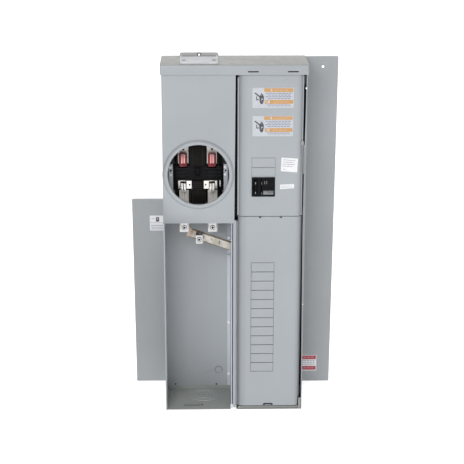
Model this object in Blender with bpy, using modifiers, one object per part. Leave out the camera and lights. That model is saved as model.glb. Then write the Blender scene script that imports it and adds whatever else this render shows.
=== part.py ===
"""Meter-main load centre with its two lift-off covers set down behind it.

Metres in the scene, millimetres in this file: the makers below turn one into the other.
X runs to the right, Y to the back, Z up.  The origin is the middle of the enclosure's base.
"""
import math

import bmesh
import bpy
from mathutils import Matrix, Vector

MM = 0.001

# ---- driving dimensions (mm) -------------------------------------------------------------------
BOX_WIDTH = 363.0            # 14.3 in enclosure
BOX_DEPTH = 142.6
BODY_TOP = 931.0             # top face of the rain cap
SHEET = 1.6                  # painted sheet steel
GAP = 0.3                    # air between pieces that touch
POLE_PITCH = 25.4            # one breaker space

LEFT, RIGHT = -BOX_WIDTH / 2, BOX_WIDTH / 2
FRONT, BACK = -BOX_DEPTH / 2, BOX_DEPTH / 2
CAP_BOTTOM = 906.0           # lower edge of the rain cap's skirt
CAP_OVERHANG = 3.1
CAP_REACH = 6.0              # the skirt stands this far in front of the box
WALL_TOP = BODY_TOP - SHEET - GAP

FRONT_LIP_LEFT = 3.0         # folded front edges of the two side walls
FRONT_LIP_RIGHT = 5.5
LIP_WAIST = (470.0, 600.0)   # the right lip keeps its full width between these heights
PAN_FLANGE = 9.0

PARTITION_LEFT, PARTITION_RIGHT = -6.7, -5.1
POST_LEFT, POST_RIGHT = -2.5, 4.6
POST_BOTTOM, POST_TOP = 7.7, 534.0

METER_COVER_RIGHT = (0.4, 3.0)          # its right edge leans: lower end, upper end
METER_COVER_BOTTOM = 523.0
COVER_TOP = CAP_BOTTOM - 0.5
RING_X, RING_Z = -90.7, 651.4
RING_BORE = 77.6             # opening for the meter
RING_FOOT = 91.0             # where the emboss leaves the cover
RING_HEIGHT = 5.0

DEADFRONT_LEFT = 9.8
UPPER_DEADFRONT_RIGHT, LOWER_DEADFRONT_RIGHT = 173.6, 174.5
DEADFRONT_BOTTOM = 11.6
DEADFRONT_SEAM = 540.2
SEAM_HALF = 0.8              # half the air between the two deadfronts
DEADFRONT_BACK = 20.6        # rear edge of their returns, behind the front plane
SHOULDER_RADIUS, SHOULDER_DEG = 18.0, 60.0
FACE_LEFT, FACE_RIGHT = 44.3, 103.8      # breaker faces and twist-outs
MAIN_BOTTOM = 592.8
UPPER_SPACES = 2
LOWER_BOTTOM = 110.6
LOWER_SPACES = 12

BAR_DEPTH = 56.7             # front of the flat bars, behind the front plane
BAR_THICK = 3.0
LEFT_JAW_X, RIGHT_JAW_X = -130.0, -56.0
LINE_LUG_X = {"left": -128.3, "right": -55.0}
NEUTRAL_LUG_X = -89.8

BUS_DEPTH = 62.0
PRONG_X = (46.0, 49.0)
BREAKER_BACK = 58.0

HANDLE_X, HANDLE_DEPTH = 60.5, 8.0       # hinge line of the tied handle
HANDLE_REST_DEG = -20.0

PULL_COVER = {"name": "pull_cover", "x": (-269.4, -84.9), "height": 548.0, "foot": 52.0}
LOAD_COVER = {"name": "load_cover", "x": (93.9, 272.4), "height": 928.0, "foot": 44.0}
COVER_RETURN = 11.0


def at(depth):
    """Y of a point this far behind the front plane."""
    return FRONT + depth


# ---- scene and collections ---------------------------------------------------------------------
def clear_scene():
    for old in list(bpy.data.objects):
        bpy.data.objects.remove(old, do_unlink=True)


def new_collection(name):
    collection = bpy.data.collections.new(name)
    bpy.context.scene.collection.children.link(collection)
    return collection


clear_scene()
PARTS = new_collection("meter_main_load_centre")
CUTTERS = new_collection("cutters")


# ---- makers ------------------------------------------------------------------------------------
def add_object(name, bm):
    """Turn a bmesh in millimetres into an object in metres."""
    bmesh.ops.scale(bm, vec=(MM, MM, MM), verts=bm.verts)
    bmesh.ops.recalc_face_normals(bm, faces=bm.faces)
    mesh = bpy.data.meshes.new(name)
    bm.to_mesh(mesh)
    bm.free()
    obj = bpy.data.objects.new(name, mesh)
    PARTS.objects.link(obj)
    return obj


def block(name, x, y, z):
    """A rectangular solid between the pairs x, y and z."""
    bm = bmesh.new()
    bmesh.ops.create_cube(bm, size=1.0)
    size = (x[1] - x[0], y[1] - y[0], z[1] - z[0])
    middle = ((x[0] + x[1]) / 2, (y[0] + y[1]) / 2, (z[0] + z[1]) / 2)
    bmesh.ops.scale(bm, vec=size, verts=bm.verts)
    bmesh.ops.translate(bm, vec=middle, verts=bm.verts)
    return add_object(name, bm)


def rod(name, centre, radius, length, axis="Z", sides=32, end_radius=None):
    """A cylinder, or a cone when end_radius is given, centred on a point."""
    turn = {
        "X": Matrix.Rotation(math.radians(90), 4, "Y"),
        "Y": Matrix.Rotation(math.radians(90), 4, "X"),
        "Z": Matrix.Identity(4),
    }[axis]
    bm = bmesh.new()
    bmesh.ops.create_cone(
        bm, cap_ends=True, segments=sides, radius1=radius,
        radius2=radius if end_radius is None else end_radius, depth=length,
        matrix=Matrix.Translation(centre) @ turn,
    )
    return add_object(name, bm)


def turned(name, profile, centre, sides=64):
    """A closed (radius, depth) profile turned about a line along Y through centre."""
    bm = bmesh.new()
    points = [bm.verts.new((radius, 0.0, -depth)) for radius, depth in profile]
    for first, second in zip(points, points[1:] + points[:1]):
        bm.edges.new((first, second))
    bmesh.ops.scale(bm, vec=(MM, MM, MM), verts=bm.verts)
    mesh = bpy.data.meshes.new(name)
    bm.to_mesh(mesh)
    bm.free()
    obj = bpy.data.objects.new(name, mesh)
    PARTS.objects.link(obj)
    screw = obj.modifiers.new("turn", "SCREW")
    screw.axis = "Z"
    screw.steps = sides
    screw.render_steps = sides
    screw.use_merge_vertices = True
    screw.merge_threshold = 0.00001
    obj.rotation_euler.x = math.radians(90)
    obj.location = Vector((centre[0], FRONT, centre[1])) * MM
    return obj


def thicken(obj, side, thickness=SHEET):
    """Give an open surface its sheet thickness, towards side +1 or -1 of its normals."""
    solid = obj.modifiers.new("sheet", "SOLIDIFY")
    solid.thickness = thickness * MM
    solid.offset = side
    solid.use_even_offset = True
    return obj


def folded_sheet(name, path, low, high, side, along="Z", thickness=SHEET):
    """A strip of sheet bent along path, running from low to high, thickened to one side of the path."""
    normal_side = {"X": "right", "Y": "left", "Z": "right"}[along]
    place = {
        "X": lambda u, v, w: (w, u, v),
        "Y": lambda u, v, w: (u, w, v),
        "Z": lambda u, v, w: (u, v, w),
    }[along]
    bm = bmesh.new()
    starts = [bm.verts.new(place(u, v, low)) for u, v in path]
    ends = [bm.verts.new(place(u, v, high)) for u, v in path]
    for i in range(len(path) - 1):
        bm.faces.new((starts[i], starts[i + 1], ends[i + 1], ends[i]))
    bmesh.ops.scale(bm, vec=(MM, MM, MM), verts=bm.verts)
    mesh = bpy.data.meshes.new(name)
    bm.to_mesh(mesh)
    bm.free()
    obj = bpy.data.objects.new(name, mesh)
    PARTS.objects.link(obj)
    return thicken(obj, 1 if side == normal_side else -1, thickness)


NORMALS = {"left": (-1, 0, 0), "right": (1, 0, 0), "front": (0, -1, 0),
           "back": (0, 1, 0), "bottom": (0, 0, -1), "top": (0, 0, 1)}


def open_box(name, x, y, z, open_sides, rounded, radius, segments=4):
    """A tray of sheet: a box with some sides left out and some edges rolled to a radius."""
    bm = bmesh.new()
    bmesh.ops.create_cube(bm, size=1.0)
    bmesh.ops.scale(bm, vec=(x[1] - x[0], y[1] - y[0], z[1] - z[0]), verts=bm.verts)
    bmesh.ops.translate(bm, vec=((x[0] + x[1]) / 2, (y[0] + y[1]) / 2, (z[0] + z[1]) / 2), verts=bm.verts)
    bm.normal_update()

    def face_on(side):
        return max(bm.faces, key=lambda face: face.normal.dot(Vector(NORMALS[side])))

    pairs = [(face_on(a), face_on(b)) for a, b in rounded]
    edges = [edge for edge in bm.edges
             if any(a in edge.link_faces and b in edge.link_faces for a, b in pairs)]
    bmesh.ops.delete(bm, geom=[face_on(side) for side in open_sides], context="FACES_ONLY")
    if edges:
        bmesh.ops.bevel(bm, geom=edges, offset=radius, segments=segments, profile=0.5, affect="EDGES")
    bmesh.ops.scale(bm, vec=(MM, MM, MM), verts=bm.verts)
    mesh = bpy.data.meshes.new(name)
    bm.to_mesh(mesh)
    bm.free()
    obj = bpy.data.objects.new(name, mesh)
    PARTS.objects.link(obj)
    return thicken(obj, -1)


def outline(name, points, y):
    """A flat outline in the XZ plane, extruded between the pair y."""
    curve = bpy.data.curves.new(name, "CURVE")
    curve.dimensions = "2D"
    curve.fill_mode = "BOTH"
    curve.extrude = (y[1] - y[0]) / 2 * MM
    spline = curve.splines.new("POLY")
    spline.points.add(len(points) - 1)
    for point, (u, v) in zip(spline.points, points):
        point.co = (u * MM, v * MM, 0.0, 1.0)
    spline.use_cyclic_u = True
    flat = bpy.data.objects.new(name + "_outline", curve)
    PARTS.objects.link(flat)
    bpy.context.view_layer.update()
    evaluated = flat.evaluated_get(bpy.context.evaluated_depsgraph_get())
    mesh = bpy.data.meshes.new_from_object(evaluated)
    upright = Matrix.Rotation(math.radians(90), 4, "X")
    mesh.transform(Matrix.Translation((0, (y[0] + y[1]) / 2 * MM, 0)) @ upright)
    bpy.data.objects.remove(flat, do_unlink=True)
    bm = bmesh.new()
    bm.from_mesh(mesh)
    bmesh.ops.remove_doubles(bm, verts=bm.verts, dist=0.00001)
    bmesh.ops.recalc_face_normals(bm, faces=bm.faces)
    bm.to_mesh(mesh)
    bm.free()
    mesh.name = name
    obj = bpy.data.objects.new(name, mesh)
    PARTS.objects.link(obj)
    return obj


def rounded_rectangle(x, z, radius, steps=4):
    """Corner points of a rectangle whose corners are arcs."""
    corners = [(x[1] - radius, z[1] - radius, 0), (x[0] + radius, z[1] - radius, 90),
               (x[0] + radius, z[0] + radius, 180), (x[1] - radius, z[0] + radius, 270)]
    points = []
    for u, v, start in corners:
        for step in range(steps + 1):
            angle = math.radians(start + 90 * step / steps)
            points.append((u + radius * math.cos(angle), v + radius * math.sin(angle)))
    return points


def use(obj, tool, operation):
    """Cut with, or join, another solid, which goes to the cutters' collection."""
    change = obj.modifiers.new(operation.lower(), "BOOLEAN")
    change.operation = operation
    change.solver = "EXACT"
    change.object = tool
    for collection in list(tool.users_collection):
        collection.objects.unlink(tool)
    CUTTERS.objects.link(tool)
    tool.hide_render = True
    tool.display_type = "WIRE"
    return obj


def cut(obj, *tools):
    for tool in tools:
        use(obj, tool, "DIFFERENCE")
    return obj


def join(obj, *pieces):
    for piece in pieces:
        use(obj, piece, "UNION")
    return obj


def finish(obj, colour, roughness, metallic=0.0):
    """A material of its own for each piece."""
    material = bpy.data.materials.new(obj.name)
    material.use_nodes = True
    shader = material.node_tree.nodes["Principled BSDF"]
    shader.inputs["Base Color"].default_value = (*colour, 1.0)
    shader.inputs["Roughness"].default_value = roughness
    shader.inputs["Metallic"].default_value = metallic
    obj.data.materials.clear()
    obj.data.materials.append(material)
    return obj


def smooth(obj, degrees=35):
    obj.data.shade_smooth()
    obj.data.set_sharp_from_angle(angle=math.radians(degrees))
    return obj


def painted(obj):
    return finish(obj, (0.43, 0.46, 0.47), 0.45)


def zinc(obj):
    return finish(obj, (0.72, 0.73, 0.75), 0.3, 1.0)


def tin(obj):
    return finish(obj, (0.70, 0.67, 0.62), 0.35, 1.0)


def aluminium(obj):
    return finish(obj, (0.78, 0.79, 0.80), 0.35, 1.0)


def black_plastic(obj):
    return finish(obj, (0.02, 0.02, 0.022), 0.4)


def red_plastic(obj):
    return finish(obj, (0.35, 0.02, 0.03), 0.4)


# ---- screws ------------------------------------------------------------------------------------
SCREW_HEAD, SCREW_HEAD_HIGH = 4.2, 2.6
SCREW_SHANK = 2.1
SCREW_CLEARANCE = SCREW_SHANK + GAP


def front_screw(name, x, z, seat, length=5.0):
    """A slotted screw facing the front, its head seated at depth seat."""
    head = rod(name, (x, at(seat - GAP - SCREW_HEAD_HIGH / 2), z), SCREW_HEAD - 0.9, SCREW_HEAD_HIGH,
               "Y", 20, SCREW_HEAD)
    head.data.transform(Matrix.Translation((0, 2 * at(seat - GAP - SCREW_HEAD_HIGH / 2) * MM, 0))
                        @ Matrix.Scale(-1, 4, (0, 1, 0)))
    head.data.flip_normals()
    shank = rod(name + "_shank", (x, at(seat + (length - 1) / 2), z), SCREW_SHANK, length + 1, "Y", 16)
    slot_back = seat - GAP - SCREW_HEAD_HIGH + 1.0
    slot = block(name + "_slot", (x - 5, x + 5), (at(slot_back - 3), at(slot_back)), (z - 0.6, z + 0.6))
    return zinc(smooth(cut(join(head, shank), slot)))


def front_hole(name, x, z, seat, radius=SCREW_CLEARANCE, reach=8.0, sides=16):
    """The clearance hole that such a screw passes through."""
    return rod(name, (x, at(seat), z), radius, reach, "Y", sides)


# ---- enclosure ---------------------------------------------------------------------------------
PARTITION_SCREWS = (441.6, 198.1, 43.9)
PARTITION_SCREW_X = -11.0
BACK_KNOCKOUT = (-39.0, 56.0, 10.5)
WALL_INSIDE = BOX_DEPTH - SHEET
EAR_Z = (652.0, 712.0)       # a tab behind the right lip, beside the upper deadfront


def lip_relief(name, waist_z, end_z):
    """Wedge that narrows the right lip from its waist to almost nothing at an end of the wall."""
    wide, narrow = RIGHT - FRONT_LIP_RIGHT, RIGHT - SHEET
    corners = [(wide - 3, end_z), (narrow, end_z), (wide, waist_z), (wide - 3, waist_z)]
    return outline(name, corners, (at(-2), at(4)))


def back_box():
    """Back and two sides, folded from one sheet, with narrow front lips."""
    path = [(LEFT + FRONT_LIP_LEFT, FRONT), (LEFT, FRONT), (LEFT, BACK),
            (RIGHT, BACK), (RIGHT, FRONT), (RIGHT - FRONT_LIP_RIGHT, FRONT)]
    box = folded_sheet("back_box", path, 0.0, WALL_TOP, "right")
    x, z, radius = BACK_KNOCKOUT
    cut(box, rod("knockout_groove", (x, at(WALL_INSIDE), z), radius, 1.2, "Y", 24))
    join(box, rod("knockout_disc", (x, at(WALL_INSIDE + 0.3), z), radius - 1.2, 2.0, "Y", 24))
    for i, (hole_x, hole_z) in enumerate(((-159.0, 13.4), (-45.0, 12.5))):
        cut(box, rod("wall_hole_%d" % i, (hole_x, at(BOX_DEPTH), hole_z), 2.4, 8, "Y", 12))
    for i, hole_z in enumerate(PARTITION_SCREWS):
        cut(box, front_hole("partition_hole_%d" % i, PARTITION_SCREW_X, hole_z, BOX_DEPTH))
    for i, (depth, low, high) in enumerate(((124.0, 16.0, 33.0), (21.0, 14.0, 22.0))):
        cut(box, block("side_slot_%d" % i, (LEFT - 3, LEFT + 5), (at(depth - 3), at(depth + 3)), (low, high)))
    cut(box, lip_relief("lip_relief_top", LIP_WAIST[1], WALL_TOP + 2))
    cut(box, lip_relief("lip_relief_foot", LIP_WAIST[0], -2))
    ear = block("lip_ear", (UPPER_DEADFRONT_RIGHT + 2 * GAP, RIGHT - 1), (at(SHEET - 0.2), at(3.4)), EAR_Z)
    return painted(join(box, ear))


def bottom_pan():
    """Bottom end wall: floor, three upturned flanges and a sill under the deadfront."""
    side = -LEFT - SHEET - GAP
    front, back = SHEET + GAP, WALL_INSIDE - GAP
    pan = folded_sheet("bottom_pan", [(-side, PAN_FLANGE), (-side, 0), (side, 0), (side, PAN_FLANGE)],
                       at(front), at(back), "left", "Y")
    join(pan, block("pan_back", (-side, side), (at(back - SHEET), at(back)), (0, PAN_FLANGE)))
    sill_web = (at(front + 3.0), at(front + 3.0 + SHEET))
    join(pan, block("pan_sill", (12, side), sill_web, (0, PAN_FLANGE)))
    join(pan, block("pan_sill_lip", (12, side), (at(front), sill_web[1]), (PAN_FLANGE - SHEET, PAN_FLANGE)))
    join(pan, block("pan_corner", (172.6, side), (at(front), at(front + SHEET)), (0, 33)))
    for name, x, depth in (("pull", -80.0, 92.6), ("load", 92.0, 78.0)):
        join(pan, rod(name + "_ring", (x, at(depth), SHEET - 0.1), 38, 1.4, "Z", 32))
        cut(pan, rod(name + "_step", (x, at(depth), SHEET + 2), 29, 4.4, "Z", 32))
        join(pan, rod(name + "_core", (x, at(depth), SHEET - 0.1), 20, 1.4, "Z", 28))
    join(pan, block("pan_rib", (-134, -90), (at(26), at(31)), (0.5, SHEET + 1)))
    cut(pan, block("post_notch", (-8, 7), (at(-2), at(34)), (-2, PAN_FLANGE + 2)))
    return painted(pan)


HUB_HOLE = (-87.7, 56.0, 36.0)
HUB_SCREW_X = (-125.0, -50.5)


def top_cap():
    """Rain cap: roof with a drip skirt on three sides and two prying slots in front."""
    cap = open_box("top_cap", (LEFT - CAP_OVERHANG, RIGHT + CAP_OVERHANG), (at(-CAP_REACH), BACK),
                   (CAP_BOTTOM, BODY_TOP), ("bottom", "back"),
                   (("front", "left"), ("front", "right"), ("front", "top")), 3.0, 3)
    through_skirt = (at(-CAP_REACH - 3), at(-CAP_REACH + 3))
    for i, x in enumerate((33.4, 132.1)):
        cut(cap, block("skirt_slot_%d" % i, (x, x + 26.5), through_skirt, (912.4, 915.4)))
    x, depth, radius = HUB_HOLE
    cut(cap, rod("hub_hole", (x, at(depth), BODY_TOP), radius, 10, "Z", 40))
    for i, screw_x in enumerate(HUB_SCREW_X):
        cut(cap, rod("hub_thread_%d" % i, (screw_x, at(depth), BODY_TOP), SCREW_CLEARANCE, 10, "Z", 16))
    return painted(cap)


def top_header():
    """Angle that ties the side walls together above the covers."""
    left, right = LEFT + FRONT_LIP_LEFT + GAP, RIGHT - FRONT_LIP_RIGHT - GAP
    path = [(at(0), CAP_BOTTOM - 0.2), (at(0), WALL_TOP), (at(12), WALL_TOP)]
    return painted(folded_sheet("top_header", path, left, right, "right", "X"))


def partition():
    """Wall between the meter and pull sections and the load-centre column."""
    back = WALL_INSIDE - GAP
    path = [(PARTITION_RIGHT, at(0)), (PARTITION_RIGHT, at(back)), (-15.2, at(back))]
    wall = folded_sheet("partition", path, SHEET + GAP, WALL_TOP - GAP, "left")
    middle = (PARTITION_LEFT - 12, PARTITION_RIGHT + 4)
    cut(wall, block("partition_foot_front", middle, (at(-2), at(4.0)), (0, POST_BOTTOM)))
    cut(wall, block("partition_foot_back", (-20, 0), (at(back - SHEET - 0.6), at(back + 2)),
                    (0, PAN_FLANGE + 0.6)))
    cut(wall, block("partition_head", middle, (at(-2), at(12.6)), (COVER_TOP, WALL_TOP + 2)))
    cut(wall, block("feed_window", middle, (at(48), at(68)), (754, 850)))
    cut(wall, block("neutral_window", middle, (at(50), at(67)), (416, 466)))
    cut(wall, block("partition_mark", (-20, -7), (at(back - 3), at(back + 2)), (391, 396)))
    for i, z in enumerate(PARTITION_SCREWS):
        cut(wall, front_hole("partition_clear_%d" % i, PARTITION_SCREW_X, z, back))
    return painted(wall)


def front_post():
    """Channel along the partition's front edge below the meter, with a ledge beside the deadfront."""
    near_wall = PARTITION_RIGHT + GAP
    path = [(near_wall, at(42)), (near_wall, at(30)), (POST_LEFT, at(26)), (POST_LEFT, at(0)),
            (POST_RIGHT, at(0)), (POST_RIGHT, at(11)), (DEADFRONT_LEFT - GAP, at(11))]
    post = folded_sheet("front_post", path, POST_BOTTOM, POST_TOP, "left")
    slope = outline("post_slope", [(POST_LEFT - 1, POST_TOP + 1), (15, POST_TOP + 1), (15, POST_TOP - 16)],
                    (at(-3), at(16)))
    return painted(cut(post, slope))


def hub_plate():
    """Closure plate over the hub opening, with two upturned rims and a raised middle."""
    bottom = BODY_TOP + GAP
    path = [(-135.0, bottom + 6), (-135.0, bottom + 2), (-133.0, bottom), (-42.5, bottom),
            (-40.5, bottom + 2), (-40.5, bottom + 6)]
    plate = folded_sheet("hub_plate", path, at(-0.4), at(113.1), "left", "Y")
    for i, x in enumerate(HUB_SCREW_X):
        cut(plate, rod("hub_clear_%d" % i, (x, at(HUB_HOLE[1]), bottom), SCREW_CLEARANCE, 10, "Z", 16))
    top = bottom + SHEET
    return zinc(join(plate, block("hub_panel", (-116.0, -60.0), (at(16), at(98)), (top - 0.5, top + 0.8))))


def hub_plate_screw(number, x):
    seat = BODY_TOP + GAP + SHEET + GAP
    name = "hub_plate_screw_%d" % number
    head = rod(name, (x, at(HUB_HOLE[1]), seat + SCREW_HEAD_HIGH / 2), SCREW_HEAD, SCREW_HEAD_HIGH, "Z", 20,
               SCREW_HEAD - 0.9)
    shank = rod(name + "_shank", (x, at(HUB_HOLE[1]), seat - 3), SCREW_SHANK, 8, "Z", 16)
    top = seat + SCREW_HEAD_HIGH
    across = (at(HUB_HOLE[1] - 0.6), at(HUB_HOLE[1] + 0.6))
    slot = block(name + "_slot", (x - 5, x + 5), across, (top - 1, top + 2))
    return zinc(smooth(cut(join(head, shank), slot)))


def hanger_bracket():
    """Tab with a nail hole, standing above the roof on the back."""
    tab = outline("hanger_bracket", rounded_rectangle((-138.0, -37.8), (880.0, 939.0), 5.0),
                  (BACK + GAP, BACK + GAP + SHEET))
    cut(tab, rod("hanger_hole", (-87.9, BACK + 1, 933.0), 3.4, 8, "Y", 20))
    return painted(tab)


# ---- meter section -----------------------------------------------------------------------------
def meter_cover():
    """Fixed-looking front of the meter section, with the embossed ring and folded stiffeners."""
    face = (at(-GAP - SHEET), at(-GAP))
    bottom, top = METER_COVER_BOTTOM, COVER_TOP
    corners = [(LEFT, bottom), (METER_COVER_RIGHT[0], bottom), (METER_COVER_RIGHT[1], top), (LEFT, top)]
    cover = outline("meter_cover", corners, face)
    inner = (at(-1.0), at(14.0))
    stiff_left, stiff_right = LEFT + FRONT_LIP_LEFT + 2 * GAP, PARTITION_LEFT - GAP
    join(cover, block("cover_return_left", (stiff_left, stiff_left + SHEET), inner, (bottom + 4, top - 4)))
    join(cover, block("cover_return_right", (stiff_right - SHEET, stiff_right), inner, (bottom + 4, top - 4)))
    join(cover, block("cover_return_low", (stiff_left, stiff_right), inner, (bottom, bottom + SHEET)))
    join(cover, block("cover_return_top", (stiff_left, stiff_right), inner, (top - 4 - SHEET, top - 4)))
    cut(cover, rod("ring_clear", (RING_X, at(0), RING_Z), RING_FOOT - 2.0, 6, "Y", 64))
    skin = -GAP - SHEET
    crest = skin - RING_HEIGHT
    lip = crest + 3.6
    outer = [(0.6, -GAP), (0.6, skin), (-0.5, skin - 0.25), (-2.4, skin - 1.1), (-4.4, crest + 1.7),
             (-6.2, crest + 0.4), (-7.6, crest)]
    inner = [(2.6, crest), (0.9, crest + 0.6), (0.0, crest + 2.2), (0.0, lip), (SHEET, lip),
             (SHEET, crest + 2.6), (3.0, crest + SHEET)]
    under = [(-7.2, crest + SHEET), (-5.2, crest + SHEET + 1.0), (-3.6, -GAP)]
    profile = [(RING_FOOT + r, depth) for r, depth in outer] + [(RING_BORE + r, depth) for r, depth in inner]
    profile += [(RING_FOOT + r, depth) for r, depth in under]
    return painted(smooth(join(cover, turned("meter_ring", profile, (RING_X, RING_Z)))))


SOCKET_FRONT = BAR_DEPTH + BAR_THICK + GAP
BRACKET_FACE = 54.0
BRACKET_SCREW_Z = (657.5, 637.5)
BRACKET_X = {"left": (-168.0, -156.6), "right": (-15.6, -26.0)}
BRACKET_SCREW_X = {"left": -164.0, "right": -22.0}


def socket_base():
    """Moulded block that carries the four jaws."""
    back = SOCKET_FRONT + 7
    base = block("socket_base", (-152.0, -29.0), (at(SOCKET_FRONT), at(back)), (559.0, 736.0))
    ears = (at(BRACKET_FACE + SHEET + GAP), at(back))
    join(base, block("socket_ears", (-165.9, -17.6), ears, (596.0, 664.0)))
    cross_z = (624.0, 662.0)
    join(base, block("socket_cross", (-150.0, -31.0), (at(48), at(back - 1)), cross_z))
    join(base, block("socket_spine", (-112.5, -73.0), (at(44), at(back - 1)), (561.0, 734.0)))
    for side, screw_x in BRACKET_SCREW_X.items():
        for i, z in enumerate(BRACKET_SCREW_Z):
            cut(base, front_hole("ear_%s_%d" % (side, i), screw_x, z, BRACKET_FACE + 4, SCREW_CLEARANCE, 12))
    for side, inward, centre in (("left", 1, LEFT_JAW_X), ("right", -1, RIGHT_JAW_X)):
        for level, low, high in (("up", 664.0, 738.0), ("down", 557.0, 623.0)):
            cut(base, block("bar_bed_%s_%s" % (side, level), (centre - 14.5, centre + 16.0),
                            (at(40), at(SOCKET_FRONT)), (low, high)))
        cut(base, block("guide_bed_" + side, (centre - GUIDE_HALF - GAP, centre + GUIDE_HALF + GAP),
                        (at(40), at(SOCKET_FRONT)), (GUIDE_Z[0] - GAP, 665.0)))
        plate_bed = sorted((centre - 14.3 * inward, centre + 22.0 * inward))
        cut(base, block("plate_bed_" + side, plate_bed, (at(40), at(JAW_BACK + GAP)), (599.5, 623.0)))
    return black_plastic(base)


def socket_bracket(side):
    """Grey angle that holds one ear of the socket base off the back wall."""
    outer, inner = BRACKET_X[side]
    back = WALL_INSIDE - GAP
    name = "socket_bracket_" + side
    path = [(inner, at(BRACKET_FACE)), (outer, at(BRACKET_FACE)), (outer, at(back)), (inner, at(back))]
    bracket = folded_sheet(name, path, 588.0, 665.0, "right" if side == "left" else "left")
    low, high = min(outer, inner) - 2, max(outer, inner) + 2
    cut(bracket, block(name + "_notch", (low + 5, high - 5), (at(BRACKET_FACE - 2), at(BRACKET_FACE + 3)),
                       (646.0, 650.0)))
    for i, z in enumerate(BRACKET_SCREW_Z):
        cut(bracket, front_hole("%s_hole_%d" % (name, i), BRACKET_SCREW_X[side], z, BRACKET_FACE))
    return painted(bracket)


JAW_BACK = BAR_DEPTH - GAP
JAW_FRONT = 38.0
JAW_THICK = 1.6
JAW_HALF = 4.2


def jaw_fork(name, centre, z):
    """Two spring fingers bent up from one strip."""
    path = [(centre - JAW_HALF, at(JAW_FRONT)), (centre - JAW_HALF, at(JAW_BACK)),
            (centre + JAW_HALF, at(JAW_BACK)), (centre + JAW_HALF, at(JAW_FRONT))]
    return folded_sheet(name, path, z[0], z[1], "right", "Z", JAW_THICK)


def upper_jaw(side, centre):
    return tin(jaw_fork("upper_jaw_" + side, centre, (668.0, 694.0)))


GUIDE_HALF = 10.5
GUIDE_Z = (660.5, 698.0)


def jaw_guide(side, centre):
    """Red collar round the upper jaw."""
    corners = rounded_rectangle((centre - GUIDE_HALF, centre + GUIDE_HALF), GUIDE_Z, 6.0)
    guide = outline("jaw_guide_" + side, corners, (at(41), at(JAW_BACK)))
    bore = (centre - JAW_HALF - GAP, centre + JAW_HALF + GAP)
    cut(guide, block("guide_bore_" + side, bore, (at(30), at(70)), (668.0 - GAP, 694.0 + GAP)))
    return red_plastic(guide)


def lower_jaw(side, centre, inward):
    """Fork on a cross plate whose inner end takes the fixing screw."""
    name = "lower_jaw_" + side
    plate_x = sorted((centre - 13.6 * inward, centre + 21.4 * inward))
    jaw = jaw_fork(name, centre, (592.5, 619.0))
    join(jaw, block(name + "_plate", plate_x, (at(JAW_BACK - JAW_THICK), at(JAW_BACK)), (600.0, 621.6)))
    cut(jaw, front_hole(name + "_hole", centre + 16.8 * inward, 611.0, JAW_BACK, 2.0))
    return tin(jaw)


def flat_bar(name, points):
    """A tin-plated bar in the bars' common plane."""
    return outline(name, points, (at(BAR_DEPTH), at(BAR_DEPTH + BAR_THICK)))


def line_bar(side, x):
    """Bar from a line lug up to the lower jaw."""
    return tin(flat_bar("line_bar_" + side, [(x[0], 482.0), (x[1], 482.0), (x[1], 621.0), (x[0], 621.0)]))


MAIN_POLES = (MAIN_BOTTOM + POLE_PITCH / 2, MAIN_BOTTOM + POLE_PITCH * 1.5)
FEEDS = {
    "left": {"x": (-143.2, -116.3), "run": (812.0, 838.0), "drop": (142.0, 158.0), "pole": MAIN_POLES[0]},
    "right": {"x": (-69.1, -43.5), "run": (766.0, 790.0), "drop": (120.0, 136.0), "pole": MAIN_POLES[1]},
}
TERMINAL_X = (113.0, 118.0)


def load_bar(side):
    """Bar from an upper jaw, over the top and down to the main breaker's terminal."""
    feed = FEEDS[side]
    (x0, x1), (low, high), (d0, d1) = feed["x"], feed["run"], feed["drop"]
    tab = (feed["pole"] - 5, feed["pole"] + 5)
    points = [(x0, 666.0), (x1, 666.0), (x1, low), (d0, low), (d0, tab[1]), (TERMINAL_X[0], tab[1]),
              (TERMINAL_X[0], tab[0]), (d1, tab[0]), (d1, high), (x0, high)]
    bar = flat_bar("load_bar_" + side, points)
    join(bar, block("terminal_" + side, TERMINAL_X, (at(34), at(BAR_DEPTH + BAR_THICK)), tab))
    cut(bar, front_hole("load_bar_hole_" + side, (x0 + x1) / 2, 704.7, BAR_DEPTH, 2.2))
    return tin(bar)


def feed_bar_standoff():
    depth = (at(SOCKET_FRONT), at(WALL_INSIDE - GAP))
    return black_plastic(block("feed_bar_standoff", (60, 80), depth, (758, 846)))


# ---- lugs and neutral --------------------------------------------------------------------------
LUG_FRONT = 30.0
LUG_HALF = 8.7
LUG_HIGH = 22.5
SET_SCREW = 6.2


def lug(name, x, z):
    """Block lug: vertical wire bore, set screw from the front."""
    body = block(name, (x - LUG_HALF, x + LUG_HALF), (at(LUG_FRONT), at(JAW_BACK)), (z, z + LUG_HIGH))
    cut(body, rod(name + "_bore", (x, at(47), z + LUG_HIGH / 2), 7.4, LUG_HIGH + 4, "Z", 28))
    cut(body, rod(name + "_thread", (x, at(LUG_FRONT + 4), z + LUG_HIGH / 2), SET_SCREW + GAP, 14, "Y", 24))
    return aluminium(smooth(body))


def lug_screw(name, x, z):
    """Socket set screw in the face of a lug."""
    middle = z + LUG_HIGH / 2
    screw = rod(name, (x, at(LUG_FRONT + 4), middle), SET_SCREW, 11, "Y", 24)
    cut(screw, rod(name + "_socket", (x, at(LUG_FRONT - 2), middle), 3.2, 12, "Y", 6))
    return zinc(smooth(screw))


LINE_LUG_Z = 491.0
NEUTRAL_LUG_Z = 458.3
STRAP_HALF = 12.2
STRAP_START, STRAP_END = (-120.0, 482.0), (-6.0, 441.5)


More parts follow.
